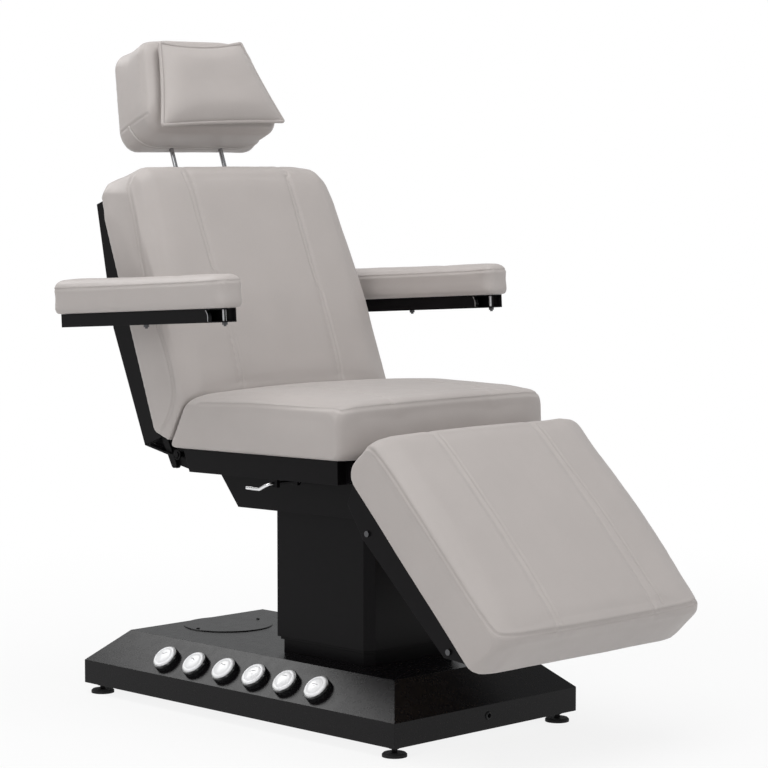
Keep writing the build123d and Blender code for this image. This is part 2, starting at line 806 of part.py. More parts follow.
# Hinge pins, riveted into the tray's ears: behind, in front, and for the lower ends of the links
with BuildPart() as hinge_pins:
    for side, side_name in sides:
        reach = back_plate_half_width - back_ear - ear_thickness + plate_thickness / 2
        extrude(disc(outward(back_hinge, back_ear + ear_thickness, side), pin_radius), amount=reach)
        reach = link_inner + link_thickness - back_ear - ear_thickness
        crank_end = outward(back_hinge + crank, back_ear + ear_thickness, side)
        extrude(disc(crank_end, link_pin_radius), amount=reach)
        reach = leg_plate_half_width - leg_ear - ear_thickness + plate_thickness / 2
        extrude(disc(outward(leg_hinge, leg_ear + ear_thickness, side), leg_pin_radius), amount=reach)
save(hinge_pins, "hinge_pins")

with BuildPart() as seat_board:
    board = polygon(
        seat_side(0),
        (tray_slant + tray_wall - tray_rear, -seat_board_thickness),
        (tray_front - tray_wall - seat_gap, -seat_board_thickness),
        (tray_front - tray_wall - seat_gap, 0),
        (tray_slant + tray_wall - tray_rear, 0),
    )
    extrude(board, amount=tray_half_width - tray_wall - seat_gap, both=True)
save(seat_board, "seat_board")


def pad_stations(half_width, end_pull):
    """Widths across a sewn pad, each with the fall of its face, the pull of its ends and its tuck."""
    half = []
    for width_share, fall_share, pull_share in shoulder_shares:
        fall = crown_rise * width_share**2 + shoulder_fall * fall_share
        half.append((half_width * width_share, fall, end_pull * pull_share, tuck_in * pull_share))
    for shift, sink in ((channel_width, 0), (0, channel_depth), (-channel_width, 0)):
        y = channel_place + shift
        half.append((y, crown_rise * (y / half_width) ** 2 + sink, 0, 0))
    return [(-y, fall, pull, tuck) for y, fall, pull, tuck in half] + [(0, 0, 0, 0)] + half[::-1]


# Seat cushion, its rear face leaning forward over the backrest's lower face
with BuildPart() as seat_cushion:
    lean = tan(radians(seat_lean))
    radii = (edge_radius, seam_radius, face_radius, bow_radius, face_radius)
    sections = []
    for y, fall, pull, tuck in pad_stations(seat_half_width, seat_end_pull):
        top = seat_thickness - fall
        points = (
            (tuck - seat_rear, soft_gap + tuck),
            (seat_front - pull, soft_gap + tuck),
            (seat_front - pull, top),
            ((seat_front - seat_rear) / 2, top + seat_arch),
            (top * lean - seat_rear, top),
        )
        sections.append(soft_polygon(seat_side(y), points, radii))
    loft(sections, ruled=True)
save(seat_cushion, "seat_cushion")

# Back frame: two side plates on the hinge pins
with BuildPart() as back_side_plates:
    plate_front = -back_board_behind - seat_gap
    for side, side_name in sides:
        view = back_side(side * (back_plate_half_width - plate_thickness / 2))
        plate = polygon(
            view,
            (0, lug_radius),
            (0, -lug_radius),
            (back_plate_knee, -back_plate_knee_depth),
            (back_plate_deep_low, -back_plate_depth),
            (back_plate_deep_high, -back_plate_depth),
            (back_plate_top, -back_plate_top_depth),
            (back_plate_top, plate_front),
            (back_board_low, plate_front),
        )
        extrude(plate, amount=plate_thickness / 2, both=True)
        inner = back_plate_half_width - plate_thickness
        extrude(disc(outward(back_hinge, inner, side), lug_radius), amount=plate_thickness)
        for place, radius in ((back_hinge, pin_radius), (arm_pivot, shaft_radius)):
            bore = disc(outward(place, inner - cut_over, side), radius + run_gap)
            extrude(bore, amount=plate_thickness + 2 * cut_over, mode=Mode.SUBTRACT)
save(back_side_plates, "back_side_plates")

# Back rails between the plates, and on the lowest one the fork that the back actuator pushes
with BuildPart() as back_rails:
    rail_half = back_plate_half_width - plate_thickness
    rail_bore = rail_side / 2 - rail_wall
    for along, behind in (
        (lower_rail_along, lower_rail_behind),
        (middle_rail_along, rail_behind),
        (upper_rail_along, rail_behind),
    ):
        with BuildSketch(back_side(0)):
            with Locations((along, -behind)):
                Rectangle(rail_side, rail_side)
                Rectangle(2 * rail_bore, 2 * rail_bore, mode=Mode.SUBTRACT)
        extrude(amount=rail_half, both=True)
    for side, side_name in sides:
        y = tilt_actuator_offset + side * (eye_thickness / 2 + fork_gap + fork_thickness / 2)
        view = back_side(y)
        tip_along, tip_forward = flat(view, back_fork)
        root_along = lower_rail_along - rail_bore - rail_wall / 2
        fork = polygon(
            view,
            (root_along, eye_radius - lower_rail_behind),
            (root_along, -eye_radius - lower_rail_behind),
            (tip_along, tip_forward - eye_radius),
            (tip_along, tip_forward + eye_radius),
        )
        extrude(fork, amount=fork_thickness / 2, both=True)
        extrude(disc(outward(back_fork, y - fork_thickness / 2, 1), eye_radius), amount=fork_thickness)
        extrude(disc(outward(back_fork, y - fork_thickness, 1), eye_bore), amount=2 * fork_thickness,
                mode=Mode.SUBTRACT)
save(back_rails, "back_rails")

with BuildPart() as back_board:
    with BuildSketch(back_layer(-back_board_behind)):
        with Locations((0, (back_board_low + back_board_high) / 2)):
            RectangleRounded(2 * back_board_half_width, back_board_high - back_board_low, back_board_corner)
        with Locations(*[(side * post_half_pitch, (sleeve_low + back_board_high) / 2) for side in (-1, 1)]):
            Rectangle(2 * (sleeve_radius + hole_gap), back_board_high - sleeve_low, mode=Mode.SUBTRACT)
    extrude(amount=-back_board_thickness)
save(back_board, "back_board")

with BuildPart() as post_sleeves:
    with BuildSketch(back_section(sleeve_low)):
        with Locations(*[(side * post_half_pitch, -post_behind) for side in (-1, 1)]):
            Circle(sleeve_radius)
            Circle(post_radius + run_gap, mode=Mode.SUBTRACT)
    extrude(amount=sleeve_high - sleeve_low)
save(post_sleeves, "post_sleeves")

with BuildPart() as back_cushion:
    radii = (edge_radius, edge_radius, face_radius, back_bow_radius, top_radius, seam_radius)
    sections = []
    for y, fall, pull, tuck in pad_stations(back_half_width, back_end_pull):
        face = back_face - fall
        rear = back_rear - back_skirt + tuck
        share = pull / back_end_pull
        points = (
            (back_low + tuck, rear),
            (back_heel, back_heel_forward),
            (back_heel + (face - back_heel_forward) * heel_slope, face),
            (back_length / 2, face + back_arch),
            (back_length - pull, face - share * back_end_fall),
            (back_length - share * back_rear_pull, rear),
        )
        sections.append(soft_polygon(back_side(y), points, radii))
    loft(sections, ruled=True)
    recess = polygon(
        back_side(0),
        (back_heel, back_rear - back_skirt - cut_over),
        (back_board_high + soft_gap, back_rear - back_skirt - cut_over),
        (back_board_high + soft_gap, back_rear),
        (back_low, back_rear),
        (back_heel, back_heel_forward),
    )
    extrude(recess, amount=back_board_half_width + soft_gap, both=True, mode=Mode.SUBTRACT)
    with BuildSketch(back_section(back_board_high - cut_over)):
        with Locations(*[(side * post_half_pitch, -post_behind) for side in (-1, 1)]):
            Circle(sleeve_radius + soft_gap)
    extrude(amount=back_length - back_board_high + 2 * cut_over, mode=Mode.SUBTRACT)
save(back_cushion, "back_cushion")

# Headrest: two posts, a block with a face hole, and a piped pillow over the hole
with BuildPart() as headrest_posts:
    with BuildSketch(back_section(post_low)):
        with Locations(*[(side * post_half_pitch, -post_behind) for side in (-1, 1)]):
            Circle(post_radius)
    extrude(amount=post_high - post_low)
save(headrest_posts, "headrest_posts")


def tapered(low, high, low_half, high_half, inset, crown=0):
    """Corners of a pad seen from the front, narrower at the top, drawn in by an inset."""
    top = high - inset
    corners = [(inset - low_half, low + inset), (low_half - inset, low + inset), (high_half - inset, top)]
    if crown:
        corners += [(high_half / 2 - inset / 2, top + crown), (inset / 2 - high_half / 2, top + crown)]
    return corners + [(inset - high_half, top)]


with BuildPart() as headrest_block:
    depth = block_behind + block_front
    sections = []
    for depth_share, round_share in block_shares:
        low = block_low + depth_share * block_low_rise
        corners = tapered(low, block_high, block_low_half_width, block_high_half_width,
                          round_share * block_round, block_crown)
        radii = [block_corner] * 3 + [block_crown_radius] * 2 + [block_corner]
        sections.append(soft_polygon(back_layer(depth_share * depth - block_behind), corners, radii))
    loft(sections, ruled=True)
    with BuildSketch(back_layer(-block_behind - cut_over)):
        with Locations((0, face_hole_along)):
            Ellipse(face_hole_half_width, face_hole_half_height)
    extrude(amount=-depth - 2 * cut_over, mode=Mode.SUBTRACT)
    with BuildSketch(back_section(block_low - cut_over)):
        with Locations(*[(side * post_half_pitch, -post_behind) for side in (-1, 1)]):
            Circle(post_radius + soft_gap)
    extrude(amount=post_high - block_low + cut_over + soft_gap, mode=Mode.SUBTRACT)
save(headrest_block, "headrest_block")

with BuildPart() as headrest_pillow:
    sections = []
    for depth_share, round_share in pillow_shares:
        corners = tapered(pillow_low, pillow_high, pillow_low_half_width, pillow_high_half_width,
                          round_share * pillow_round)
        layer = back_layer(block_front + soft_gap + depth_share * pillow_thickness)
        sections.append(soft_polygon(layer, corners, pillow_corner * (1 - round_share / 2)))
    loft(sections, ruled=True)
save(headrest_pillow, "headrest_pillow")

# Leg rest: side plates on the front pins, rails with a fork between them, a board, bolts and the pad
with BuildPart() as leg_side_plates:
    for side, side_name in sides:
        view = leg_side(side * (leg_plate_half_width - plate_thickness / 2))
        plate = polygon(
            view,
            (0, leg_lug_radius),
            (-leg_lug_radius, 0),
            (leg_plate_knee, -leg_plate_knee_depth),
            (leg_plate_deep_high, -leg_plate_depth),
            (leg_plate_deep_low, -leg_plate_deep_low_depth),
            (leg_plate_end, -leg_plate_face),
            (leg_board_start, -leg_plate_face),
        )
        extrude(plate, amount=plate_thickness / 2, both=True)
        inner = leg_plate_half_width - plate_thickness
        extrude(disc(outward(leg_hinge, inner, side), leg_lug_radius), amount=plate_thickness)
        bore = disc(outward(leg_hinge, inner - cut_over, side), leg_pin_radius + run_gap)
        extrude(bore, amount=plate_thickness + 2 * cut_over, mode=Mode.SUBTRACT)
save(leg_side_plates, "leg_side_plates")

with BuildPart() as leg_rails:
    rail_half = leg_plate_half_width - plate_thickness
    for along in (leg_rail_first, leg_rail_middle, leg_rail_last):
        with BuildSketch(leg_side(0)):
            with Locations((along, -leg_rail_below)):
                Rectangle(rail_side, rail_side)
                Rectangle(2 * rail_bore, 2 * rail_bore, mode=Mode.SUBTRACT)
        extrude(amount=rail_half, both=True)
    for side, side_name in sides:
        y = side * (eye_thickness / 2 + fork_gap + fork_thickness / 2) - tilt_actuator_offset
        view = leg_side(y)
        tip_along, tip_up = flat(view, leg_fork)
        root_up = -leg_rail_below - rail_bore - rail_wall / 2
        fork = polygon(
            view,
            (leg_rail_first - rail_side / 2, root_up),
            (leg_rail_first + rail_side / 2, root_up),
            (tip_along + eye_radius, tip_up),
            (tip_along - eye_radius, tip_up),
        )
        extrude(fork, amount=fork_thickness / 2, both=True)
        extrude(disc(outward(leg_fork, y - fork_thickness / 2, 1), eye_radius), amount=fork_thickness)
        extrude(disc(outward(leg_fork, y - fork_thickness, 1), eye_bore), amount=2 * fork_thickness,
                mode=Mode.SUBTRACT)
save(leg_rails, "leg_rails")

with BuildPart() as leg_board:
    board = polygon(
        leg_side(0),
        (leg_board_start, -leg_board_below),
        (leg_board_end, -leg_board_below),
        (leg_board_end, leg_board_thickness - leg_board_below),
        (leg_board_start, leg_board_thickness - leg_board_below),
    )
    extrude(board, amount=leg_plate_half_width + plate_thickness, both=True)
save(leg_board, "leg_board")

with BuildPart() as leg_bolts:
    for side, side_name in sides:
        for along, depth in ((leg_bolt_first, leg_bolt_first_depth), (leg_bolt_last, leg_bolt_last_depth)):
            place = leg_side(0).from_local_coords(Vector(along, -depth, 0))
            extrude(disc(outward(place, leg_plate_half_width, side), leg_bolt_radius), amount=leg_bolt_height)
save(leg_bolts, "leg_bolts")

with BuildPart() as leg_cushion:
    radii = (leg_heel_radius, seam_radius, face_radius, bow_radius, face_radius)
    sections = []
    for y, fall, pull, tuck in pad_stations(leg_half_width, leg_end_pull):
        top = leg_bottom + leg_thickness - fall
        rear = pull - leg_overlap
        front = leg_length - leg_overlap - pull
        points = (
            (rear, leg_bottom - leg_skirt + tuck),
            (front, leg_bottom - leg_skirt + tuck),
            (front, top),
            ((rear + front) / 2, top + leg_arch),
            (rear, top),
        )
        sections.append(soft_polygon(leg_side(y), points, radii))
    loft(sections, ruled=True)
    recess = polygon(
        leg_side(0),
        (-leg_overlap - cut_over, leg_bottom - leg_skirt - cut_over),
        (leg_board_end + soft_gap, leg_bottom - leg_skirt - cut_over),
        (leg_board_end + soft_gap, leg_bottom),
        (leg_heel_radius / 2, leg_bottom),
        (-leg_overlap - cut_over, leg_bottom + leg_heel_radius * 3 / 4),
    )
    extrude(recess, amount=leg_plate_half_width + plate_thickness + soft_gap, both=True, mode=Mode.SUBTRACT)
save(leg_cushion, "leg_cushion")

# Armrests: a bar welded to its shaft and crank, a pad, two bolts and the levelling link
bar_low = bar_wall - bar_height / 2
bar_middle = (bar_front - bar_behind) / 2
for side, side_name in sides:
    with BuildPart() as arm_bar:
        with BuildSketch(arm_side(side * arm_centre)):
            with Locations((bar_middle, 0)):
                Rectangle(bar_front + bar_behind, bar_height)
        extrude(amount=bar_width / 2, both=True)
        with BuildSketch(arm_side(side * arm_centre)):
            with Locations((bar_middle, 0)):
                Rectangle(bar_front + bar_behind + cut_over, -2 * bar_low)
        extrude(amount=bar_width / 2 - bar_wall, both=True, mode=Mode.SUBTRACT)
        with BuildSketch(arm_side(side * (arm_centre + bar_width / 2))):
            with BuildLine():
                low_corner = (bar_cut_start + bar_cut_bow, bar_low)
                high_corner = (bar_cut_start, -bar_low)
                ThreePointArc(low_corner, (bar_cut_start + bar_cut_bow, 0), high_corner)
                bar_end = bar_front - bar_wall
                Polyline(high_corner, (bar_end, -bar_low), (bar_end, bar_low), low_corner)
            make_face()
        extrude(amount=bar_wall, both=True, mode=Mode.SUBTRACT)
        with BuildSketch(arm_layer(0, side * arm_centre)):
            with Locations((arm_bolt_rear, 0), (arm_bolt_front, 0)):
                Circle(arm_bolt_radius + run_gap)
        extrude(amount=bar_height, both=True, mode=Mode.SUBTRACT)
        shaft_length = arm_centre - bar_width / 2 - back_ear + bar_wall / 2
        extrude(disc(outward(arm_pivot, back_ear, side), shaft_radius), amount=shaft_length)
        view = world_side(side * (back_ear + ear_thickness / 2))
        upper_crank = bar_between(view, arm_pivot, arm_pivot + crank, crank_radius)
        extrude(upper_crank, amount=ear_thickness / 2, both=True)
        pin_length = link_inner + link_thickness - back_ear
        extrude(disc(outward(arm_pivot + crank, back_ear, side), link_pin_radius), amount=pin_length)
    save(arm_bar, "arm_bar_" + side_name)

    with BuildPart() as arm_pad:
        sections = []
        for height_share, round_share in arm_pad_shares:
            inset = round_share * pad_round
            corners = (
                (inset - pad_behind, inset - pad_half_width),
                (pad_front - inset, inset - pad_half_width),
                (pad_front - inset, pad_half_width - inset),
                (inset - pad_behind, pad_half_width - inset),
            )
            layer = arm_layer(bar_height / 2 + soft_gap + height_share * pad_thickness, side * arm_centre)
            sections.append(soft_polygon(layer, corners, pad_corner - inset / 2))
        loft(sections, ruled=True)
    save(arm_pad, "arm_pad_" + side_name)

    with BuildPart() as arm_bolts:
        with BuildSketch(arm_layer(bar_height / 2, side * arm_centre)):
            with Locations((arm_bolt_rear, 0), (arm_bolt_front, 0)):
                Circle(arm_bolt_radius)
        extrude(amount=-bar_height - arm_nut_height - arm_bolt_stands)
        with BuildSketch(arm_layer(-bar_height / 2, side * arm_centre)):
            with Locations((arm_bolt_rear, 0), (arm_bolt_front, 0)):
                RegularPolygon(arm_nut_flats / 2, 6, major_radius=False)
        extrude(amount=-arm_nut_height)
    save(arm_bolts, "arm_bolts_" + side_name)

    with BuildPart() as arm_link:
        view = world_side(side * (link_inner + link_thickness / 2))
        extrude(bar_between(view, back_hinge + crank, arm_pivot + crank, link_width / 2),
                amount=link_thickness / 2, both=True)
        for place in (back_hinge + crank, arm_pivot + crank):
            bore = disc(outward(place, link_inner - cut_over, side), link_pin_radius + run_gap)
            extrude(bore, amount=link_thickness + 2 * cut_over, mode=Mode.SUBTRACT)
    save(arm_link, "arm_link_" + side_name)

    # Release handle: a rod bent into a crank under the seat's edge, with a cam at its inner end
    with BuildPart() as release_handle:
        with BuildLine():
            FilletPolyline(
                (handle.X, side * handle_inner, handle.Z),
                (handle.X, side * handle_outer, handle.Z),
                (handle.X - handle_reach, side * handle_outer, handle.Z - handle_drop),
                (handle.X - handle_reach - handle_grip, side * handle_outer, handle.Z - handle_drop),
                radius=handle_bend,
            )
        with BuildSketch(outward(handle, handle_inner, side)):
            Circle(handle_radius)
        sweep()
        extrude(disc(outward(handle, handle_inner, side), cam_radius), amount=cam_thickness)
    save(release_handle, "release_handle_" + side_name)

# Tilt actuators: tube, motor and end plate, one facing the backrest and one facing the leg rest
with BuildPart() as tilt_actuators:
    for y, fork_tip, start, way in (
        (tilt_actuator_offset, back_fork, back_tube_start, 1),
        (-tilt_actuator_offset, leg_fork, leg_tube_start, -1),
    ):
        motor_y = y + way * tilt_motor_offset
        mouth = fork_tip.X + way * start
        tail = mouth + way * tilt_tube_length
        extrude(disc(Plane(origin=(mouth, y, fork_tip.Z), z_dir=(way, 0, 0)), tilt_tube_radius),
                amount=tilt_tube_length)
        extrude(disc(Plane(origin=(mouth, y, fork_tip.Z), z_dir=(way, 0, 0)), tilt_rod_radius + run_gap),
                amount=tilt_tube_length - tilt_end_thickness, mode=Mode.SUBTRACT)
        extrude(disc(Plane(origin=(tail, motor_y, fork_tip.Z), z_dir=(-way, 0, 0)), tilt_motor_radius),
                amount=tilt_tube_length / 2)
        end_plane = Plane(origin=(tail, (y + motor_y) / 2, fork_tip.Z), x_dir=(0, 1, 0), z_dir=(-way, 0, 0))
        with BuildSketch(end_plane):
            SlotCenterToCenter(tilt_motor_offset, 2 * tilt_tube_radius)
        extrude(amount=tilt_end_thickness)
save(tilt_actuators, "tilt_actuators")

for name, y, fork_tip, way in (
    ("back_actuator_rod", tilt_actuator_offset, back_fork, 1),
    ("leg_actuator_rod", -tilt_actuator_offset, leg_fork, -1),
):
    with BuildPart() as tilt_rod:
        extrude(disc(outward(fork_tip, y - eye_thickness / 2, 1), eye_radius), amount=eye_thickness)
        extrude(disc(Plane(origin=(fork_tip.X, y, fork_tip.Z), z_dir=(way, 0, 0)), tilt_rod_radius),
                amount=tilt_rod_length)
        extrude(disc(outward(fork_tip, y - eye_thickness, 1), eye_bore), amount=2 * eye_thickness,
                mode=Mode.SUBTRACT)
    save(tilt_rod, name)
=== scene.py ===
import bpy
import bmesh
import json
import numpy as np
from math import atan, cos, pi, radians, sin
from mathutils import Matrix, Vector, noise
from mathutils.bvhtree import BVHTree


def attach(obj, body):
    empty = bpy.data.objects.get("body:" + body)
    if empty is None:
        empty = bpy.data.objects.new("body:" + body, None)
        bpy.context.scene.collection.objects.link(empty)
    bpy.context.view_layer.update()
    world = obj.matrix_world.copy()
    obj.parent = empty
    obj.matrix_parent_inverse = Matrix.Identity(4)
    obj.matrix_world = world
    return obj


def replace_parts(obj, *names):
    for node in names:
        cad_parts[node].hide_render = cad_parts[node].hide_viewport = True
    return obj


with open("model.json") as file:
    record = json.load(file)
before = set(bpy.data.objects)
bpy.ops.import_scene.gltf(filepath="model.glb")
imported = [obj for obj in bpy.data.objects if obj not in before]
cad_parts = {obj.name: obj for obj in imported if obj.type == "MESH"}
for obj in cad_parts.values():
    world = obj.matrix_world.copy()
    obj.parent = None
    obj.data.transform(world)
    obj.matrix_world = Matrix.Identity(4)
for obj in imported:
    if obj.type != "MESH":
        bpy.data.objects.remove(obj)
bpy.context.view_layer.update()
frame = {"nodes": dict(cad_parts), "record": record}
nodes = frame["nodes"]
scene = bpy.context.scene


# Places: each cushion is worked in its carrier's own directions
class Place:
    def __init__(self, origin, first, third):
        self.origin = np.array(origin, float)
        self.rows = np.array([first, (0, 1, 0), third], float)

    def local(self, points):
        return (np.asarray(points) - self.origin) @ self.rows.T

    def world(self, points):
        return np.asarray(points) @ self.rows + self.origin


lean = radians(20)
back = Place((-0.294, 0, 0.548), (-sin(lean), 0, cos(lean)), (cos(lean), 0, sin(lean)))
drop = radians(46)
leg = Place((0.244, 0, 0.553), (cos(drop), 0, -sin(drop)), (sin(drop), 0, cos(drop)))
tilt = radians(1.2)
seat = Place((0, 0, 0.5685), (cos(tilt), 0, sin(tilt)), (-sin(tilt), 0, cos(tilt)))
rise = radians(3.6)
arm = Place((-0.4481, 0, 0.8282), (cos(rise), 0, sin(rise)), (-sin(rise), 0, cos(rise)))


# Materials
class Shader:
    """A node material under construction, with short calls for its nodes."""

    def __init__(self, name, **values):
        self.material = bpy.data.materials.new(name)
        self.material.use_nodes = True
        self.tree = self.material.node_tree
        self.surface = self.tree.nodes["Principled BSDF"]
        for key, value in values.items():
            self.surface.inputs[key.replace("_", " ").title().replace("Ior", "IOR")].default_value = value

    def node(self, kind, **inputs):
        made = self.tree.nodes.new(kind)
        for key, value in inputs.items():
            socket = made.inputs[key.replace("_", " ")]
            if isinstance(value, bpy.types.NodeSocket):
                self.tree.links.new(value, socket)
            else:
                socket.default_value = value
        return made

    def position(self, scale=1.0):
        coordinates = self.tree.nodes.new("ShaderNodeTexCoord")
        mapping = self.tree.nodes.new("ShaderNodeMapping")
        mapping.inputs["Scale"].default_value = (scale, scale, scale)
        self.tree.links.new(coordinates.outputs["Object"], mapping.inputs["Vector"])
        return mapping.outputs["Vector"]

    def noise(self, vector, scale, detail=3.0, roughness=0.5):
        return self.node("ShaderNodeTexNoise", Vector=vector, Scale=scale, Detail=detail,
                         Roughness=roughness).outputs["Fac"]

    def ramp(self, factor, *stops):
        made = self.node("ShaderNodeValToRGB", Fac=factor)
        elements = made.color_ramp.elements
        while len(elements) < len(stops):
            elements.new(0.5)
        for element, (place, colour) in zip(elements, stops):
            element.position = place
            element.color = colour if len(colour) == 4 else (*colour, 1)
        return made.outputs["Color"]

    def bump(self, height, strength, distance, normal=None):
        made = self.node("ShaderNodeBump", Height=height, Strength=strength, Distance=distance)
        if normal is not None:
            self.tree.links.new(normal, made.inputs["Normal"])
        return made.outputs["Normal"]

    def link(self, output, name):
        self.tree.links.new(output, self.surface.inputs[name])


def grey(value):
    return (value, value, value)


def leatherette(name, colour):
    """Fine-grained coated fabric: small pebbles, faint creases, slightly uneven colour and gloss."""
    shader = Shader(name, specular_ior_level=0.42, coat_weight=0.04, coat_roughness=0.35,
                    sheen_weight=0.12, sheen_roughness=0.5)
    place = shader.position()
    cloud = shader.noise(place, 9.0, 3.0)
    fine = shader.noise(place, 160.0, 4.0, 0.6)
    mixed = shader.node("ShaderNodeMath")
    mixed.operation = "MULTIPLY_ADD"
    shader.tree.links.new(fine, mixed.inputs[0])
    mixed.inputs[1].default_value = 0.35
    shader.tree.links.new(cloud, mixed.inputs[2])
    dark = tuple(c * 0.975 for c in colour)
    light = tuple(min(1, c * 1.02) for c in colour)
    shader.link(shader.ramp(mixed.outputs[0], (0.42, dark), (0.9, light)), "Base Color")
    wear = shader.noise(place, 34.0, 3.0)
    shader.link(shader.ramp(wear, (0.3, grey(0.47)), (0.75, grey(0.56))), "Roughness")
    pebbles = shader.node("ShaderNodeTexVoronoi", Vector=place, Scale=900.0, Randomness=1.0)
    pebbles.feature = "SMOOTH_F1"
    creases = shader.noise(place, 420.0, 5.0, 0.62)
    first = shader.bump(pebbles.outputs["Distance"], 0.35, 0.00028)
    shader.link(shader.bump(creases, 0.3, 0.0003, first), "Normal")
    return shader.material


def powder_coat(name, colour, roughness, gloss=0.11, speck=1.0):
    """Satin powder coating: a fine orange peel with faint dust in it and softened edges."""
    shader = Shader(name, specular_ior_level=gloss)
    place = shader.position()
    peel = shader.noise(place, 520.0, 2.0, 0.5)
    dust = shader.noise(place, 45.0, 4.0, 0.6)
    light = tuple(c * 1.35 for c in colour)
    shader.link(shader.ramp(dust, (0.35, colour), (0.8, light)), "Base Color")
    shader.link(shader.ramp(dust, (0.3, grey(roughness)), (0.8, grey(roughness + 0.05))), "Roughness")
    rounded = shader.node("ShaderNodeBevel", Radius=0.0012).outputs["Normal"]
    shader.link(shader.bump(peel, 0.25 * speck, 0.00012, rounded), "Normal")
    return shader.material


def metal(name, colour, low, high, scratches=0.0):
    """Plated or bare steel: uneven gloss with faint hairlines."""
    shader = Shader(name, metallic=1.0, base_color=(*colour, 1))
    place = shader.position()
    smear = shader.noise(place, 90.0, 5.0, 0.65)
    shader.link(shader.ramp(smear, (0.35, grey(low)), (0.7, grey(high))), "Roughness")
    stretched = shader.node("ShaderNodeMapping", Vector=place, Scale=(1, 1, 14))
    hair = shader.noise(stretched.outputs["Vector"], 260.0, 3.0, 0.6)
    shader.link(shader.bump(hair, 0.04 + scratches, 0.0001), "Normal")
    return shader.material


def plastic(name, colour, low, high, peel=240.0, strength=0.15, gloss=None):
    """Moulded plastic with a fine spark-eroded grain and slightly uneven gloss."""
    shader = Shader(name, specular_ior_level=gloss or (0.5 if max(colour) > 0.1 else 0.22))
    place = shader.position()
    cloud = shader.noise(place, 25.0, 4.0)
    shader.link(shader.ramp(cloud, (0.3, tuple(c * 0.93 for c in colour)), (0.7, colour)), "Base Color")
    shader.link(shader.ramp(cloud, (0.3, grey(low)), (0.7, grey(high))), "Roughness")
    grain = shader.noise(place, peel * 4, 3.0, 0.6)
    shader.link(shader.bump(grain, strength, 0.0001), "Normal")
    return shader.material


def plywood(name):
    """Birch plywood: long soft figure with fine pores."""
    shader = Shader(name, specular_ior_level=0.3)
    place = shader.position()
    stretched = shader.node("ShaderNodeMapping", Vector=place, Scale=(1.2, 11, 1.2))
    figure = shader.noise(stretched.outputs["Vector"], 7.0, 5.0, 0.6)
    shader.link(shader.ramp(figure, (0.3, (0.42, 0.27, 0.14)), (0.55, (0.58, 0.41, 0.24)),
                            (0.8, (0.66, 0.5, 0.31))), "Base Color")
    shader.link(shader.ramp(figure, (0.3, grey(0.55)), (0.8, grey(0.7))), "Roughness")
    shader.link(shader.bump(figure, 0.2, 0.0004), "Normal")
    return shader.material


upholstery = leatherette("leatherette", (0.437, 0.400, 0.382))
welt_skin = leatherette("leatherette_welt", (0.55, 0.52, 0.50))
thread = plastic("sewing_thread", (0.40, 0.366, 0.348), 0.55, 0.75)
steel = powder_coat("black_powder_coat", (0.0035, 0.0030, 0.0036), 0.34, 0.10, 0.5)
cover_steel = powder_coat("black_base_paint", (0.0036, 0.0031, 0.0037), 0.25, 0.16, 0.12)
bolt_steel = metal("blackened_bolt", (0.11, 0.11, 0.115), 0.3, 0.45, 0.1)
chrome = metal("chrome_plate", (0.78, 0.78, 0.79), 0.06, 0.14)
dark_chrome = metal("dark_chrome_plate", (0.36, 0.36, 0.37), 0.07, 0.14)
zinc = metal("zinc_plate", (0.5, 0.5, 0.51), 0.25, 0.42, 0.1)
alloy = metal("cast_alloy", (0.45, 0.46, 0.47), 0.35, 0.5, 0.2)
rubber = plastic("black_rubber", (0.014, 0.014, 0.014), 0.6, 0.78, 160.0, 0.3)
black_plastic = plastic("black_plastic", (0.016, 0.016, 0.017), 0.3, 0.42)
gloss_plastic = plastic("black_gloss_plastic", (0.012, 0.012, 0.013), 0.1, 0.18, 120.0, 0.05, 0.5)
dark_plastic = plastic("dark_plastic", (0.02, 0.02, 0.021), 0.34, 0.46)
white_plastic = plastic("white_cap", (0.9, 0.9, 0.91), 0.16, 0.24, 120.0, 0.05)
ink = plastic("printed_mark", (0.22, 0.22, 0.23), 0.4, 0.5)
ply = plywood("plywood")

finishes = {
    "black_steel": steel,
    "bare_steel": zinc,
    "chrome": chrome,
    "actuator_alloy": alloy,
    "rubber": rubber,
    "black_plastic": black_plastic,
    "grey_plastic": dark_plastic,
    "white_plastic": white_plastic,
    "plywood": ply,
    "upholstery": upholstery,
}
slot_of = {part["node"]: part["material_slot"] for part in frame["record"]["subparts"]}
for name, piece in nodes.items():
    piece.data.materials.clear()
    piece.data.materials.append(finishes[slot_of[name]])
nodes["base_cover"].data.materials[0] = cover_steel
nodes["service_plate"].data.materials[0] = cover_steel
nodes["service_screws"].data.materials[0] = steel
nodes["foot_studs"].data.materials[0] = steel
nodes["headrest_posts"].data.materials[0] = dark_chrome
nodes["switch_housings"].data.materials[0] = gloss_plastic
nodes["leg_bolts"].data.materials[0] = bolt_steel


# Sewn covers: how often their moves are evened, what share of the swelling crowns a pad, between two limits,
# and the size and height in metres of the foam's unevenness
even_rounds = 24
crown_share, crown_low, crown_high = 0.6, -0.0016, 0.0026
foam_slow, foam_fine = (0.11, 0.0011), (0.045, 0.0004)


# Mesh helpers
def add(name, mesh, material, body=None):
    piece = bpy.data.objects.new(name, mesh)
    scene.collection.objects.link(piece)
    mesh.materials.clear()
    mesh.materials.append(material)
    if body:
        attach(piece, body)
    return piece


def settle(piece):
    """Applies a piece's modifiers to its mesh."""
    view = bpy.context.evaluated_depsgraph_get()
    mesh = bpy.data.meshes.new_from_object(piece.evaluated_get(view))
    old = piece.data
    piece.modifiers.clear()
    piece.data = mesh
    bpy.data.meshes.remove(old)
    return piece


def points_of(mesh):
    flat = np.empty(len(mesh.vertices) * 3)
    mesh.vertices.foreach_get("co", flat)
    return flat.reshape(-1, 3)


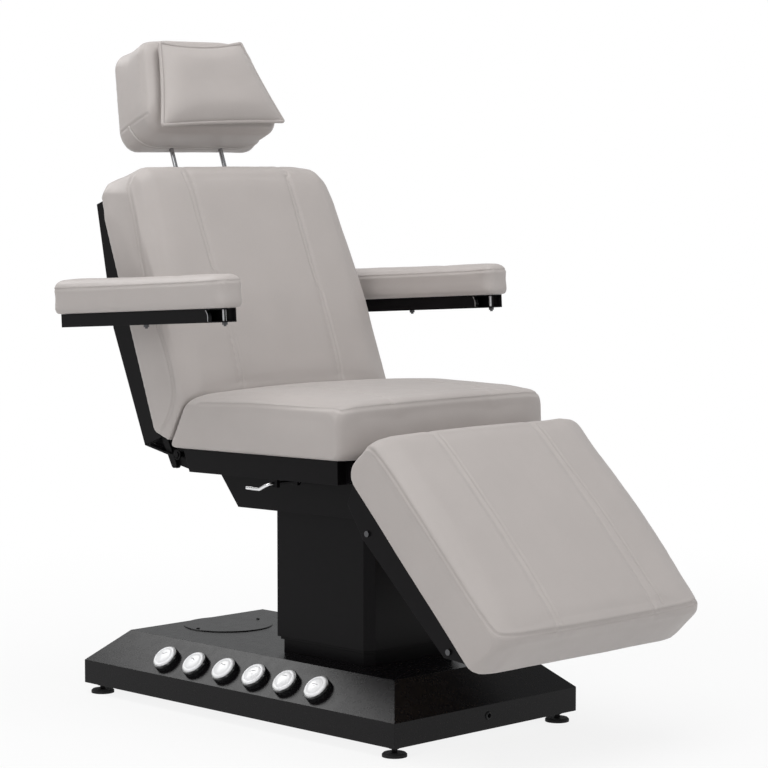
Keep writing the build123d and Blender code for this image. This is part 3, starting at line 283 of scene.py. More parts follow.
def normals_of(mesh):
    flat = np.empty(len(mesh.vertices) * 3)
    mesh.vertex_normals.foreach_get("vector", flat)
    return flat.reshape(-1, 3)


def set_points(mesh, points):
    mesh.vertices.foreach_set("co", np.asarray(points, np.float32).ravel())
    mesh.update()


def smooth_shade(mesh):
    mesh.polygons.foreach_set("use_smooth", np.ones(len(mesh.polygons), bool))


def evened(mesh, moves, held, times):
    """A cover's moves without their small wrinkles; the held points stay."""
    ends = np.empty(len(mesh.edges) * 2, np.int32)
    mesh.edges.foreach_get("vertices", ends)
    a, b = ends.reshape(-1, 2).T
    size = len(mesh.vertices)
    neighbours = np.bincount(a, minlength=size) + np.bincount(b, minlength=size)
    for _ in range(times):
        total = [np.bincount(a, moves[b, k], size) + np.bincount(b, moves[a, k], size) for k in range(3)]
        moves = (moves + np.stack(total, 1) / neighbours[:, None]) / 2
        moves[held] = 0
    return moves


def inflate(piece, held, pressure, cap, frames=14):
    """How far a cover's points move when it swells while the held ones stay, with its wrinkles evened out."""
    start = points_of(piece.data)
    group = piece.vertex_groups.new(name="held")
    group.add([int(i) for i in np.nonzero(held)[0]], 1.0, "REPLACE")
    cloth = piece.modifiers.new("cover", "CLOTH")
    settings = cloth.settings
    settings.quality = 4
    settings.mass = 0.35
    settings.tension_stiffness = 12
    settings.compression_stiffness = 12
    settings.shear_stiffness = 6
    settings.bending_stiffness = 0.6
    settings.air_damping = 2
    settings.use_pressure = True
    settings.uniform_pressure_force = pressure
    settings.vertex_group_mass = "held"
    settings.effector_weights.gravity = 0
    settings.shrink_min = -0.004
    cloth.collision_settings.use_collision = False
    cloth.collision_settings.use_self_collision = False
    cloth.point_cache.frame_start = 1
    cloth.point_cache.frame_end = frames
    for number in range(1, frames + 1):
        scene.frame_set(number)
    settle(piece)
    scene.frame_set(1)
    moved = points_of(piece.data) - start
    size = np.linalg.norm(moved, axis=1, keepdims=True)
    moved *= np.minimum(1, cap / np.maximum(size, 1e-9))
    set_points(piece.data, start)
    piece.vertex_groups.clear()
    return evened(piece.data, moved, held, even_rounds)


def waves(points, place, size, seed):
    """A slow unevenness of the foam under the cover."""
    local = place.local(points) / size
    return np.array([noise.noise(Vector(p) + Vector((seed, 0, 0))) for p in local])


def cushion(node, name, place, body, voxel, held, swell, cap, pressure=4.0, seed=1, form=None):
    """A sewn pad grown from its node's form: remeshed, reshaped, and crowned by how its cover swells."""
    source = bmesh.new()
    source.from_mesh(nodes[node].data)
    bmesh.ops.remove_doubles(source, verts=source.verts, dist=1e-5)
    mesh = bpy.data.meshes.new(name)
    source.to_mesh(mesh)
    source.free()
    piece = add(name, mesh, upholstery)
    remesh = piece.modifiers.new("skin", "REMESH")
    remesh.mode = "VOXEL"
    remesh.voxel_size = voxel
    ease = piece.modifiers.new("ease", "SMOOTH")
    ease.factor = 0.5
    ease.iterations = 3
    settle(piece)
    points = points_of(piece.data)
    if form:
        points = place.world(form(place.local(points) * 1000) / 1000)
        set_points(piece.data, points)
    fixed = held(place.local(points) * 1000)
    slow = waves(points, place, foam_slow[0], seed) * foam_slow[1]
    fine = waves(points, place, foam_fine[0], seed + 7) * foam_fine[1]
    lift = (slow + fine) * ~fixed
    normals = normals_of(piece.data)
    set_points(piece.data, points - normals * swell * (~fixed)[:, None])
    rise = (inflate(piece, fixed, pressure, cap) * normals).sum(1)
    free = np.repeat((~fixed)[:, None].astype(float), 3, 1)
    free = evened(piece.data, free, fixed, even_rounds)[:, 0]
    lift += np.clip((rise - rise[~fixed].mean() * free) * crown_share, crown_low, crown_high)
    set_points(piece.data, points)
    set_points(piece.data, points + normals_of(piece.data) * lift[:, None])
    finer = piece.modifiers.new("finer", "SUBSURF")
    finer.levels = 1
    finer.render_levels = 1
    settle(piece)
    piece.data.materials.clear()
    piece.data.materials.append(upholstery)
    smooth_shade(piece.data)
    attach(piece, body)
    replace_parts(piece, node)
    return piece


def tree_of(piece):
    mesh = piece.data
    polygons = [tuple(p.vertices) for p in mesh.polygons]
    return BVHTree.FromPolygons([v.co for v in mesh.vertices], polygons)


def along(points, step):
    """A line through the given points with a vertex every step."""
    points = np.asarray(points, float)
    lengths = np.linalg.norm(np.diff(points, axis=0), axis=1)
    total = np.concatenate([[0], np.cumsum(lengths)])
    at = np.linspace(0, total[-1], max(2, int(total[-1] / step) + 1))
    return np.stack([np.interp(at, total, points[:, k]) for k in range(3)], 1)


def rounded(points, times=3, closed=False):
    """Cuts a line's corners, keeping its ends."""
    points = [np.asarray(p, float) for p in points]
    for _ in range(times):
        pairs = list(zip(points, points[1:] + ([points[0]] if closed else [])))
        cut = []
        for a, b in pairs:
            cut += [a * 0.75 + b * 0.25, a * 0.25 + b * 0.75]
        points = cut if closed else [points[0]] + cut + [points[-1]]
    return points + [points[0]] if closed else points


def laid(tree, line, step=0.002):
    """The line laid on a surface: its points there and the surface's normals."""
    places, faces = [], []
    for p in along(line, step):
        spot, normal, _, _ = tree.find_nearest(Vector(p))
        places.append(spot)
        faces.append(normal)
    places = np.array(places, float)
    faces = np.array(faces, float)
    for _ in range(3):
        faces[1:-1] = (faces[:-2] + faces[1:-1] * 2 + faces[2:]) / 4
        places[1:-1] = (places[:-2] + places[1:-1] * 2 + places[2:]) / 4
    faces /= np.linalg.norm(faces, axis=1, keepdims=True)
    return places, faces


def groove(piece, lines, width, depth, lip=0.0, pucker=0.0):
    """Presses sewn lines into a piece, with a soft lip and small puckers beside them."""
    mesh = piece.data
    points = points_of(mesh)
    normals = normals_of(mesh)
    reach = width * 7
    nearest = np.full(len(points), 1.0)
    travel = np.zeros(len(points))
    for line in lines:
        low, high = line.min(0) - reach, line.max(0) + reach
        near = np.nonzero(((points > low) & (points < high)).all(1))[0]
        steps = np.concatenate([[0], np.cumsum(np.linalg.norm(np.diff(line, axis=0), axis=1))])
        for chunk in np.array_split(near, max(1, len(near) // 20000)):
            if len(chunk) == 0:
                continue
            gap = np.linalg.norm(points[chunk][:, None] - line[None], axis=2)
            best = gap.argmin(1)
            value = gap[np.arange(len(chunk)), best]
            closer = value < nearest[chunk]
            nearest[chunk[closer]] = value[closer]
            travel[chunk[closer]] = steps[best[closer]]
    touched = nearest < reach
    d = nearest[touched]
    move = -depth * np.exp(-(d / width) ** 2) + lip * np.exp(-((d - 2.4 * width) / (1.3 * width)) ** 2)
    if pucker:
        wave = np.array([noise.noise(Vector((t * 45, 3.7, 0))) for t in travel[touched]])
        move += pucker * wave * np.exp(-((d - 2.6 * width) / (2 * width)) ** 2)
    points[touched] += normals[touched] * move[:, None]
    set_points(mesh, points)


def tube(name, line, normals, radius, body, material=None, sides=8, closed=False, sink=0.0):
    """A round cord of cloth along a line laid on a surface."""
    line = np.asarray(line) - np.asarray(normals) * sink
    ahead = np.roll(line, -1, 0) - np.roll(line, 1, 0)
    if not closed:
        ahead[0] = line[1] - line[0]
        ahead[-1] = line[-1] - line[-2]
    ahead /= np.maximum(np.linalg.norm(ahead, axis=1, keepdims=True), 1e-9)
    side = np.cross(ahead, normals)
    side /= np.maximum(np.linalg.norm(side, axis=1, keepdims=True), 1e-9)
    up = np.cross(side, ahead)
    rings = []
    for k in range(sides):
        turn = 2 * pi * k / sides
        rings.append(line + (side * cos(turn) + up * sin(turn)) * radius)
    points = np.stack(rings, 1).reshape(-1, 3)
    count = len(line)
    faces = []
    for i in range(count if closed else count - 1):
        j = (i + 1) % count
        for k in range(sides):
            l = (k + 1) % sides
            faces.append((i * sides + k, i * sides + l, j * sides + l, j * sides + k))
    if not closed:
        faces.append(tuple(range(sides))[::-1])
        faces.append(tuple((count - 1) * sides + k for k in range(sides)))
    mesh = bpy.data.meshes.new(name)
    mesh.from_pydata(points.tolist(), [], faces)
    smooth_shade(mesh)
    return add(name, mesh, material or welt_skin, body)


def stitches(name, rows, tree, body, pitch=0.0042, long=0.003, radius=0.00042, rise_up=0.00005):
    """Rows of stitches beside sewn lines: each a short thread with tapered ends lying on the cover."""
    points, faces = [], []
    ring = 5
    for line, normals, offset in rows:
        ahead = np.gradient(line, axis=0)
        ahead /= np.maximum(np.linalg.norm(ahead, axis=1, keepdims=True), 1e-9)
        side = np.cross(normals, ahead)
        shifted = line + side * offset
        steps = np.concatenate([[0], np.cumsum(np.linalg.norm(np.diff(shifted, axis=0), axis=1))])
        for at in np.arange(pitch, steps[-1] - pitch, pitch):
            spot = Vector([np.interp(at, steps, shifted[:, k]) for k in range(3)])
            spot, normal, _, _ = tree.find_nearest(spot)
            index = min(int(np.searchsorted(steps, at)), len(ahead) - 1)
            run = Vector(ahead[index])
            run = (run - normal * run.dot(normal)).normalized()
            across = normal.cross(run)
            centre = spot + normal * (rise_up + radius * 0.35)
            first = len(points)
            for share, size in ((-0.5, 0.35), (-0.32, 1), (0.32, 1), (0.5, 0.35)):
                dip = radius * (0.9 if abs(share) > 0.4 else 0)
                middle = centre + run * long * share - normal * dip
                for k in range(ring):
                    turn = 2 * pi * k / ring
                    points.append(middle + (across * cos(turn) + normal * sin(turn)) * radius * size)
            for row in range(3):
                for k in range(ring):
                    l = (k + 1) % ring
                    faces.append((first + row * ring + k, first + row * ring + l,
                                  first + (row + 1) * ring + l, first + (row + 1) * ring + k))
            faces.append(tuple(first + k for k in range(ring))[::-1])
            faces.append(tuple(first + 3 * ring + k for k in range(ring)))
    mesh = bpy.data.meshes.new(name)
    mesh.from_pydata([tuple(p) for p in points], [], faces)
    smooth_shade(mesh)
    return add(name, mesh, thread, body)


def on(place, *points):
    """World points of a line given in millimetres in a place's own directions."""
    return place.world(np.array(points, float) / 1000)


# Seat cushion
def seat_held(p):
    rear = (p[:, 0] + 288.5 - p[:, 2] * 0.577) < 12
    return (p[:, 2] < 7) | rear


seat_pad = cushion("seat_cushion", "seat_upholstery", seat, "seat", 0.006, seat_held, 0.004, 0.007, seed=2)
skin = tree_of(seat_pad)
seat_edge = (
    (-190, -300, 98), (-60, -302, 103), (90, -302, 105), (224, -292, 105), (231, -278, 105), (231, 0, 105),
    (231, 278, 105), (224, 292, 105), (90, 302, 105), (-60, 302, 103), (-190, 300, 98),
)
round_seam = laid(skin, rounded(on(seat, *seat_edge), 2))
channels = [laid(skin, on(seat, *[(x, side * 143, 130) for x in range(-205, 200, 15)])) for side in (-1, 1)]
groove(seat_pad, [round_seam[0]], 0.0026, 0.0009, 0.0003, 0.0003)
groove(seat_pad, [c[0] for c in channels], 0.003, 0.002, 0.0004, 0.0003)
skin = tree_of(seat_pad)
stitches("seat_stitching", [(*round_seam, 0.0035)], skin, "seat")


# Back cushion
def back_held(p):
    low = p[:, 0] < 64 - p[:, 2] * 0.6
    return ((p[:, 2] < 2) & (abs(p[:, 1]) < 282)) | (p[:, 2] < -17) | low | (p[:, 0] > 586) & (p[:, 2] < 6)


def back_form(p):
    """Draws the face's shoulders in towards the top, the left one more, and fills out the left foot."""
    face = np.clip((p[:, 2] + 10) / 80, 0, 1)
    top = np.clip((p[:, 0] - 420) / 180, 0, 1) ** 1.5 * face
    corner = np.clip((p[:, 0] - 520) / 90, 0, 1) * np.clip((p[:, 1] - 190) / 100, 0, 1) * face
    foot = np.clip((220 - p[:, 0]) / 140, 0, 1) * np.clip(p[:, 1] / 280, 0, 1) ** 2 * face
    p[:, 1] += 5 * foot - (0.03 * p[:, 1] + 3) * top - 8 * corner
    p[:, 0] -= 9 * corner
    return p


back_pad = cushion("back_cushion", "back_upholstery", back, "backrest", 0.006, back_held, 0.004, 0.007,
                   seed=5, form=back_form)
skin = tree_of(back_pad)
seam_side = (
    (54, 8), (60, 19), (76, 42), (92, 59), (120, 74), (173, 79), (217, 77), (263, 69), (330, 66), (429, 66),
    (504, 71), (560, 72), (588, 66),
)
sides_of_back = []
for side in (-1, 1):
    line = rounded(on(back, *[(s, side * 305, t) for s, t in seam_side]), 2)
    sides_of_back.append(laid(skin, line))
back_edge = (
    (588, -296, 66), (602, -270, 68), (612, -240, 72), (618, -150, 78), (618, 0, 80), (618, 150, 78),
    (612, 240, 72), (602, 270, 68), (588, 296, 66),
)
top_seam = laid(skin, rounded(on(back, *back_edge), 2))
back_channels = (
    ((66, -143), (107, -140), (153, -134), (227, -136), (371, -144), (491, -153), (602, -161)),
    ((66, 146), (115, 149), (165, 154), (220, 152), (305, 145), (428, 136), (550, 137), (602, 139)),
)
back_lines = [laid(skin, rounded(on(back, *[(s, y, 130) for s, y in line]), 2)) for line in back_channels]
groove(back_pad, [s[0] for s in sides_of_back] + [top_seam[0]], 0.0028, 0.0014, 0.0006, 0.0004)
groove(back_pad, [b[0] for b in back_lines], 0.0022, 0.002, 0.0002, 0.0002)
skin = tree_of(back_pad)
rows = []
for line in sides_of_back:
    rows += [(*line, 0.004), (*line, -0.004)]
stitches("back_stitching", rows, skin, "backrest")


# Leg cushion
def leg_held(p):
    inside = (p[:, 2] < 13) & (abs(p[:, 1]) < 274) & (p[:, 0] < 482)
    return inside | (p[:, 2] < 2) | (p[:, 0] < 0) & (p[:, 2] < 40)


def leg_form(p):
    """Draws the pad's upper left corner out and swells its left side a little."""
    corner = np.clip((90 - p[:, 0]) / 90, 0, 1) * np.clip((p[:, 1] - 200) / 100, 0, 1)
    corner *= np.clip(p[:, 2] / 90, 0, 1)
    side = np.clip((p[:, 1] - 150) / 150, 0, 1) * np.sin(np.clip((p[:, 0] - 60) / 400, 0, 1) * pi)
    p[:, 1] += 7 * corner + 7 * side * np.clip(p[:, 2] / 60, 0, 1)
    p[:, 0] -= 6 * corner
    return p


leg_pad = cushion("leg_cushion", "leg_upholstery", leg, "leg_rest", 0.006, leg_held, 0.004, 0.007, seed=9,
                  form=leg_form)
skin = tree_of(leg_pad)
edge = [(-4, -302, 82), (25, -302, 92), (90, -302, 96), (175, -302, 96), (255, -302, 95), (400, -302, 96)]
edge += [(458, -300, 100), (474, -286, 106), (482, -240, 109), (485, -120, 110), (486, 0, 110)]
edge += [(u, -y, v) for u, y, v in edge[-2::-1]]
leg_seam = laid(skin, rounded(on(leg, *edge), 2))
leg_channels = (
    ((0, -132), (103, -129), (179, -129), (260, -131), (345, -130), (478, -136)),
    ((0, 158), (98, 160), (233, 168), (478, 171)),
)
leg_lines = [laid(skin, rounded(on(leg, *[(u, y, 140) for u, y in line]), 2)) for line in leg_channels]
groove(leg_pad, [leg_seam[0]], 0.0028, 0.0018, 0.0007, 0.0005)
groove(leg_pad, [line[0] for line in leg_lines], 0.0022, 0.002, 0.0002, 0.0002)
skin = tree_of(leg_pad)
stitches("leg_stitching", [(*leg_seam, 0.0042), (*leg_seam, -0.0042)], skin, "leg_rest")


# Headrest block, held where its posts enter
def block_held(p):
    return (abs(abs(p[:, 1]) - 71) < 12) & (p[:, 0] < 705) & (abs(p[:, 2] + 16) < 14)


def block_form(p):
    """Lets the block's foot hang a little lower and draws its top left corner in."""
    p[:, 1] -= 9 * np.clip((p[:, 0] - 790) / 90, 0, 1) * np.clip((p[:, 1] - 50) / 80, 0, 1)
    p[:, 0] -= 6.5 * np.clip((745 - p[:, 0]) / 45, 0, 1)
    return p


block = cushion("headrest_block", "headrest_upholstery", back, "headrest", 0.0045, block_held, 0.002, 0.004,
                seed=12, form=block_form)
skin = tree_of(block)
arc = [(731, -188, -2), (722, -188, -1), (712, -185, 1), (704, -181, 2), (697, -175, 2), (691, -163, 2),
       (687, -142, -2), (686, -119, -6), (686, -101, -8), (686, -65, -9), (686, 0, -10)]
arc += [(s, -y, t) for s, y, t in arc[-2::-1]]
piping = laid(skin, rounded(on(back, *arc), 2))
side_cut = ((727, -34), (729, -15), (731, 5), (732, 27), (732, 50), (734, 68))
cross = [laid(skin, on(back, *[(s, side * 196, t) for s, t in side_cut])) for side in (-1, 1)]
groove(block, [piping[0]] + [c[0] for c in cross], 0.0024, 0.0016, 0.0005, 0.0006)
tube("headrest_piping", *piping, 0.0019, "headrest", sink=0.0004)

# Headrest pillow: two panels sewn together round a welt and filled
count = 76
pillow_foot, pillow_top = 705, 890
foot_half, top_half = 176, 117
front_bulge, rear_bulge = 17.0, 13.0
rim = 92.0
block_face = 0.0768
welt_radius = 0.0041


def half(s):
    return foot_half + (top_half - foot_half) * (s - pillow_foot) / (pillow_top - pillow_foot)


def pillow_edge(u, v):
    """A point of the outline: a sagging top, sides drawn in between the corners, all a little askew."""
    s = (pillow_foot + pillow_top) / 2 + (pillow_top - pillow_foot) / 2 * v
    sag = (1 - u * u) * v * v * (-11 if v > 0 else 3.5)
    return s + sag + (4.5 - 1.5 * v) * u, u * (half(s) - (1 - v * v) * 4.0) - 6 * (1 + v)


grid_points, grid_faces = [], []
for panel, bulge in ((1, front_bulge), (-1, rear_bulge)):
    for i in range(count + 1):
        for j in range(count + 1):
            u, v = 2 * i / count - 1, 2 * j / count - 1
            u, v = np.sign(u) * abs(u) ** 0.86, np.sign(v) * abs(v) ** 0.9
            s, y = pillow_edge(u, v)
            sideways, lengthways = (1 - abs(u)) * half(s), (1 - abs(v)) * (pillow_top - pillow_foot) / 2
            edge = min(sideways, lengthways)
            full = 1
            for inner in (sideways, lengthways):
                full *= (1 - (1 - min(1, max(0, inner - 1) / 62)) ** 2.4) ** (0.6 if panel > 0 else 0.45)
            t = rim + panel * (bulge * full + 1.2 * min(1, edge / 3))
            if v < 0 and panel > 0:
                t += 4 * full * (1 - u * u) * (-v)
            grid_points.append((s, y, t))
    first = (count + 1) ** 2 if panel < 0 else 0
    for i in range(count):
        for j in range(count):
            a = first + i * (count + 1) + j
            quad = (a, a + count + 1, a + count + 2, a + 1)
            grid_faces.append(quad if panel < 0 else quad[::-1])
pillow_mesh = bpy.data.meshes.new("pillow_upholstery")
pillow_mesh.from_pydata(back.world(np.array(grid_points) / 1000).tolist(), [], grid_faces)
joiner = bmesh.new()
joiner.from_mesh(pillow_mesh)
bmesh.ops.remove_doubles(joiner, verts=joiner.verts, dist=1e-5)
bmesh.ops.recalc_face_normals(joiner, faces=joiner.faces)
joiner.to_mesh(pillow_mesh)
joiner.free()
pillow = add("pillow_upholstery", pillow_mesh, upholstery)
place = back.local(points_of(pillow_mesh)) * 1000
outline = (abs(place[:, 2] - rim) < 0.01)
start = points_of(pillow.data)
moved = inflate(pillow, outline, 3.0, 0.004)
swollen = back.local(start + moved * crown_share)
swollen[:, 2] = np.maximum(swollen[:, 2], block_face)
set_points(pillow.data, back.world(swollen))
points = points_of(pillow.data)
unevenness = waves(points, back, 0.05, 31) * 0.0012 * ~outline
set_points(pillow.data, points + normals_of(pillow.data) * unevenness[:, None])
finer = pillow.modifiers.new("finer", "SUBSURF")
finer.levels = 1
finer.render_levels = 1
settle(pillow)
pillow.data.materials.clear()
pillow.data.materials.append(upholstery)
smooth_shade(pillow.data)
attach(pillow, "pillow")
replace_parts(pillow, "headrest_pillow")
rim_line = []
for u, v in ([(k / 14 - 1, -1) for k in range(28)] + [(1, k / 14 - 1) for k in range(28)]
             + [(1 - k / 14, 1) for k in range(28)] + [(-1, 1 - k / 14) for k in range(28)]):
    rim_line.append((*pillow_edge(u, v), rim))
rim_points = back.world(np.array(rim_line) / 1000)
rim_points = np.array(rounded(list(rim_points), 2, closed=True))[:-1]
centre = back.world(np.array([0.8, 0, rim / 1000]))
rim_normals = rim_points - centre
rim_normals /= np.linalg.norm(rim_normals, axis=1, keepdims=True)
tube("pillow_welt", rim_points, rim_normals, welt_radius, "pillow", upholstery, closed=True, sides=14,
     sink=-0.001)

# Arm pads
arm_middle = 385.5
for side, side_name in ((-1, "right"), (1, "left")):
    def arm_held(p):
        return p[:, 2] < 17

    def arm_form(p):
        """Draws the pad's front a little over the bar's end and fills its top, more towards the rear."""
        p[:, 0] += 4 * np.clip((p[:, 0] - 380) / 80, 0, 1)
        p[:, 2] += np.clip((p[:, 2] - 17) / 60, 0, 1) * (3 + 4.5 * np.clip((300 - p[:, 0]) / 360, 0, 1))
        return p

    pad = cushion(f"arm_pad_{side_name}", f"arm_upholstery_{side_name}", arm, f"arm_{side_name}", 0.004,
                  arm_held, 0.002, 0.0035, seed=20 + side, form=arm_form)
    skin = tree_of(pad)
    y0 = side * arm_middle
    ring = [(-60, -36, 66), (190, -37, 66), (440, -37, 66), (460, -28, 66), (466, 0, 66), (460, 28, 66),
            (440, 37, 66), (190, 37, 66), (-60, 37, 66), (-76, 28, 66), (-80, 0, 66), (-76, -28, 66)]
    line = rounded(list(on(arm, *[(x, y0 + y, z) for x, y, z in ring])), 2, closed=True)
    pad_seam = laid(skin, line)
    groove(pad, [pad_seam[0]], 0.002, 0.0007, 0.0003, 0.0003)
    skin = tree_of(pad)
    stitches(f"arm_stitching_{side_name}", [(*pad_seam, 0.003)], skin, f"arm_{side_name}")


def turned(name, form, place, material, body, sides=64):
    """A form turned about a place's third direction."""
    points, faces = [], []
    inner = form[1:-1]
    points.append((0, 0, form[0][1]))
    for r, h in inner:
        points += [(r * cos(2 * pi * k / sides), r * sin(2 * pi * k / sides), h) for k in range(sides)]
    points.append((0, 0, form[-1][1]))
    for k in range(sides):
        l = (k + 1) % sides
        faces.append((0, 1 + k, 1 + l))
        for row in range(len(inner) - 1):
            low, high = 1 + row * sides, 1 + (row + 1) * sides
            faces.append((low + k, high + k, high + l, low + l))
        last = 1 + (len(inner) - 1) * sides
        faces.append((last + k, len(points) - 1, last + l))
    mesh = bpy.data.meshes.new(name)
    mesh.from_pydata([tuple(place @ Vector(p)) for p in points], [], faces)
    smooth_shade(mesh)
    mesh.set_sharp_from_angle(angle=radians(50))
    return add(name, mesh, material, body)


# Armrest bars: hollow, each with a window near the front of the wall on the chair's right, a bright lip along
# the window's rear edge and a sleeve round the bolt inside
bar_rear, bar_end, bar_half, bar_wall, bar_rise = -66, 455, 15, 2.5, 14
window_rear, window_bow = 396, 6
lip_thick, lip_deep = 1.6, 10
bolt_place, sleeve_radius = 437, 4.6
shaft_end = 0.3705
inside = bar_rise - bar_wall


def prism(outline, low, high):
    """A plate's points and faces: its outline seen from the side, from one place across it to another."""
    size = len(outline)
    points = [(x, y, z) for y in (low, high) for x, z in outline]
    faces = [tuple(range(size)), tuple(range(2 * size - 1, size - 1, -1))]
    faces += [(k, k + size, (k + 1) % size + size, (k + 1) % size) for k in range(size)]
    return points, faces


def plates(name, place, parts, middle, material, body):
    """Welded plates as one piece."""
    points, faces = [], []
    for outline, low, high in parts:
        more, sides = prism(outline, middle + low, middle + high)
        faces += [tuple(len(points) + k for k in face) for face in sides]
        points += more
    mesh = bpy.data.meshes.new(name)
    mesh.from_pydata(on(place, *points).tolist(), [], faces)
    joiner = bmesh.new()
    joiner.from_mesh(mesh)
    bmesh.ops.recalc_face_normals(joiner, faces=joiner.faces)
    joiner.to_mesh(mesh)
    joiner.free()
    return add(name, mesh, material, body)


def across(rear, front, low, high):
    return (rear, low), (front, low), (front, high), (rear, high)


heights = np.linspace(-inside, inside, 13)
bend = [(window_rear + window_bow * (1 - max(0, z / inside) ** 1.5), z) for z in heights]
for side, side_name in ((-1, "right"), (1, "left")):
    middle = side * arm_middle
    body = f"arm_{side_name}"
    rear_wall = [(bar_rear, inside), (bar_rear, -inside), *bend]
    bar = plates(f"bar_plates_{side_name}", arm, [
        (across(bar_rear, bar_end, inside, bar_rise), -bar_half, bar_half),
        (across(bar_rear, bar_end, -bar_rise, -inside), -bar_half, bar_half),
        (across(bar_rear, bar_end, -inside, inside), bar_half - bar_wall, bar_half),
        (rear_wall, -bar_half, bar_wall - bar_half),
        (across(bar_end - bar_wall, bar_end, -inside, inside), -bar_half, bar_wall - bar_half),
    ], middle, steel, body)
    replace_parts(bar, f"arm_bar_{side_name}")
    lip = [*bend, *[(x + lip_thick, z) for x, z in bend[::-1]]]
    parts = [(lip, -bar_half, lip_deep - bar_half)]
    plates(f"bar_lip_{side_name}", arm, parts, middle, zinc, body)
    start, *steps = on(arm, (bolt_place, middle, 0), (bolt_place + 1, middle, 0), (bolt_place, middle + 1, 0),
                       (bolt_place, middle, 1))
    spot = Matrix([Vector(step - start) for step in steps]).transposed().to_4x4()
    spot.translation = Vector(start)
    sleeve = ((0, inside), (sleeve_radius, inside), (sleeve_radius, -inside), (0, -inside))
    turned(f"bolt_sleeve_{side_name}", sleeve, spot, zinc, body)
    shaft = bmesh.new()
    shaft.from_mesh(nodes[f"arm_bar_{side_name}"].data)
    beyond = [v for v in shaft.verts if abs(v.co.y) > shaft_end + 0.0001]
    bmesh.ops.delete(shaft, geom=beyond, context="VERTS")
    flat = [f for f in shaft.faces if min(abs(v.co.y) for v in f.verts) > shaft_end - 0.0001]
    bmesh.ops.delete(shaft, geom=flat, context="FACES")
    bmesh.ops.holes_fill(shaft, edges=shaft.edges, sides=0)
    mesh = bpy.data.meshes.new(f"arm_shaft_{side_name}")
    shaft.to_mesh(mesh)
    shaft.free()
    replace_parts(add(f"arm_shaft_{side_name}", mesh, steel, body), f"arm_bar_{side_name}")
    nodes[f"arm_bolts_{side_name}"].data.materials[0] = bolt_steel


# Backrest side plates: each runs straight down to a corner, from where a flange slopes forward to the hinge,
# with a web behind it. The flange's front part leaves a space for the armrest's link.
plate_across, flange_across, web_across, flange_end = (268, 272), (140, 256), (250, 253), 140
lug_radius = 11
side_plate = [(47, -93), (193, -100), (311, -106), (576, -66), (576, -23.3), (84, -23.3), (48, -35)]
foot_rear = [(47, -93), (20, -48), (23.4, -45.9), (50.4, -90.9)]
foot_front = [(20, -48), (-9, 0), (-5.6, 2.1), (23.4, -45.9)]
web = [(43, -95), (-12, -4), (20, 0), (84, -24), (84, -94)]
lug = [(lug_radius * cos(k * pi / 12), lug_radius * sin(k * pi / 12)) for k in range(24)]
for side, side_name in ((-1, "right"), (1, "left")):
    outer = sorted(side * y for y in plate_across)
    front = sorted(side * y for y in flange_across)
    rear = sorted((side * flange_end, side * plate_across[1]))
    cheek = sorted(side * y for y in web_across)
    parts = [
        (side_plate, *outer), (foot_front, *outer), (lug, *outer),
        (foot_front, *front), (foot_rear, *rear), (web, *cheek),
    ]
    plate = plates(f"back_plate_{side_name}", back, parts, 0, steel, "backrest")
    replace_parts(plate, "back_side_plates")
nodes["hinge_pins"].data.materials[0] = steel


# Foot-switch caps: low domes with a moulded ring, and a printed mark on each
cap_form = (
    (0, 17.8), (5, 17.7), (10, 17.35), (15, 16.8), (19.6, 16.2), (20.2, 15.75), (20.9, 15.7), (21.5, 16.0),
    (23.6, 15.6), (25.0, 14.9), (25.8, 13.9), (26, 12.6), (26, 5), (6, 5), (6, -20), (0, -20),
)
cap_lean = atan(72 / 66)
cap_pitch, cap_middle, cap_out, cap_height, cap_lift = 0.0938, -0.136, 0.23, 0.105, 0.009
signs = (((-8, 1), (-1, 1), (6, 6)), ((-8, 3), (-1, 3), (6, -1)), ((-8, 5), (0, 3), (7, 3)),
         ((-8, -1), (0, 3), (7, 3)), ((-8, 6), (7, 6)), ((-8, 0), (7, 0)))


def printed(name, place, line, arrow, body):
    """A bent line and an arrowhead printed on a cap's dome."""
    points, faces = [], []

    def height(x, y):
        return 17.84 - 2.0 * (x * x + y * y) / 19.6 ** 2 + 0.1

    for (x0, y0), (x1, y1) in zip(line, line[1:]):
        length = ((x1 - x0) ** 2 + (y1 - y0) ** 2) ** 0.5
        dx, dy = (x1 - x0) / length, (y1 - y0) / length
        for k in range(7):
            x, y = x0 + (x1 - x0) * k / 6, y0 + (y1 - y0) * k / 6
            for w in (-0.75, 0.75):
                points.append((x - dy * w, y + dx * w, height(x, y)))
        first = len(points) - 14
        faces += [(first + 2 * k, first + 2 * k + 2, first + 2 * k + 3, first + 2 * k + 1) for k in range(6)]
    tip = -10 if arrow < 0 else -4
    base = -4 if arrow < 0 else -10
    first = len(points)
    points += [(x, y, height(x, y)) for x, y in ((-3.4, base), (3.4, base), (0, tip))]
    faces.append((first, first + 1, first + 2))
    mesh = bpy.data.meshes.new(name)
    mesh.from_pydata([tuple(place @ Vector((x, y + 3, z))) for x, y, z in points], [], faces)
    return add(name, mesh, ink, body)


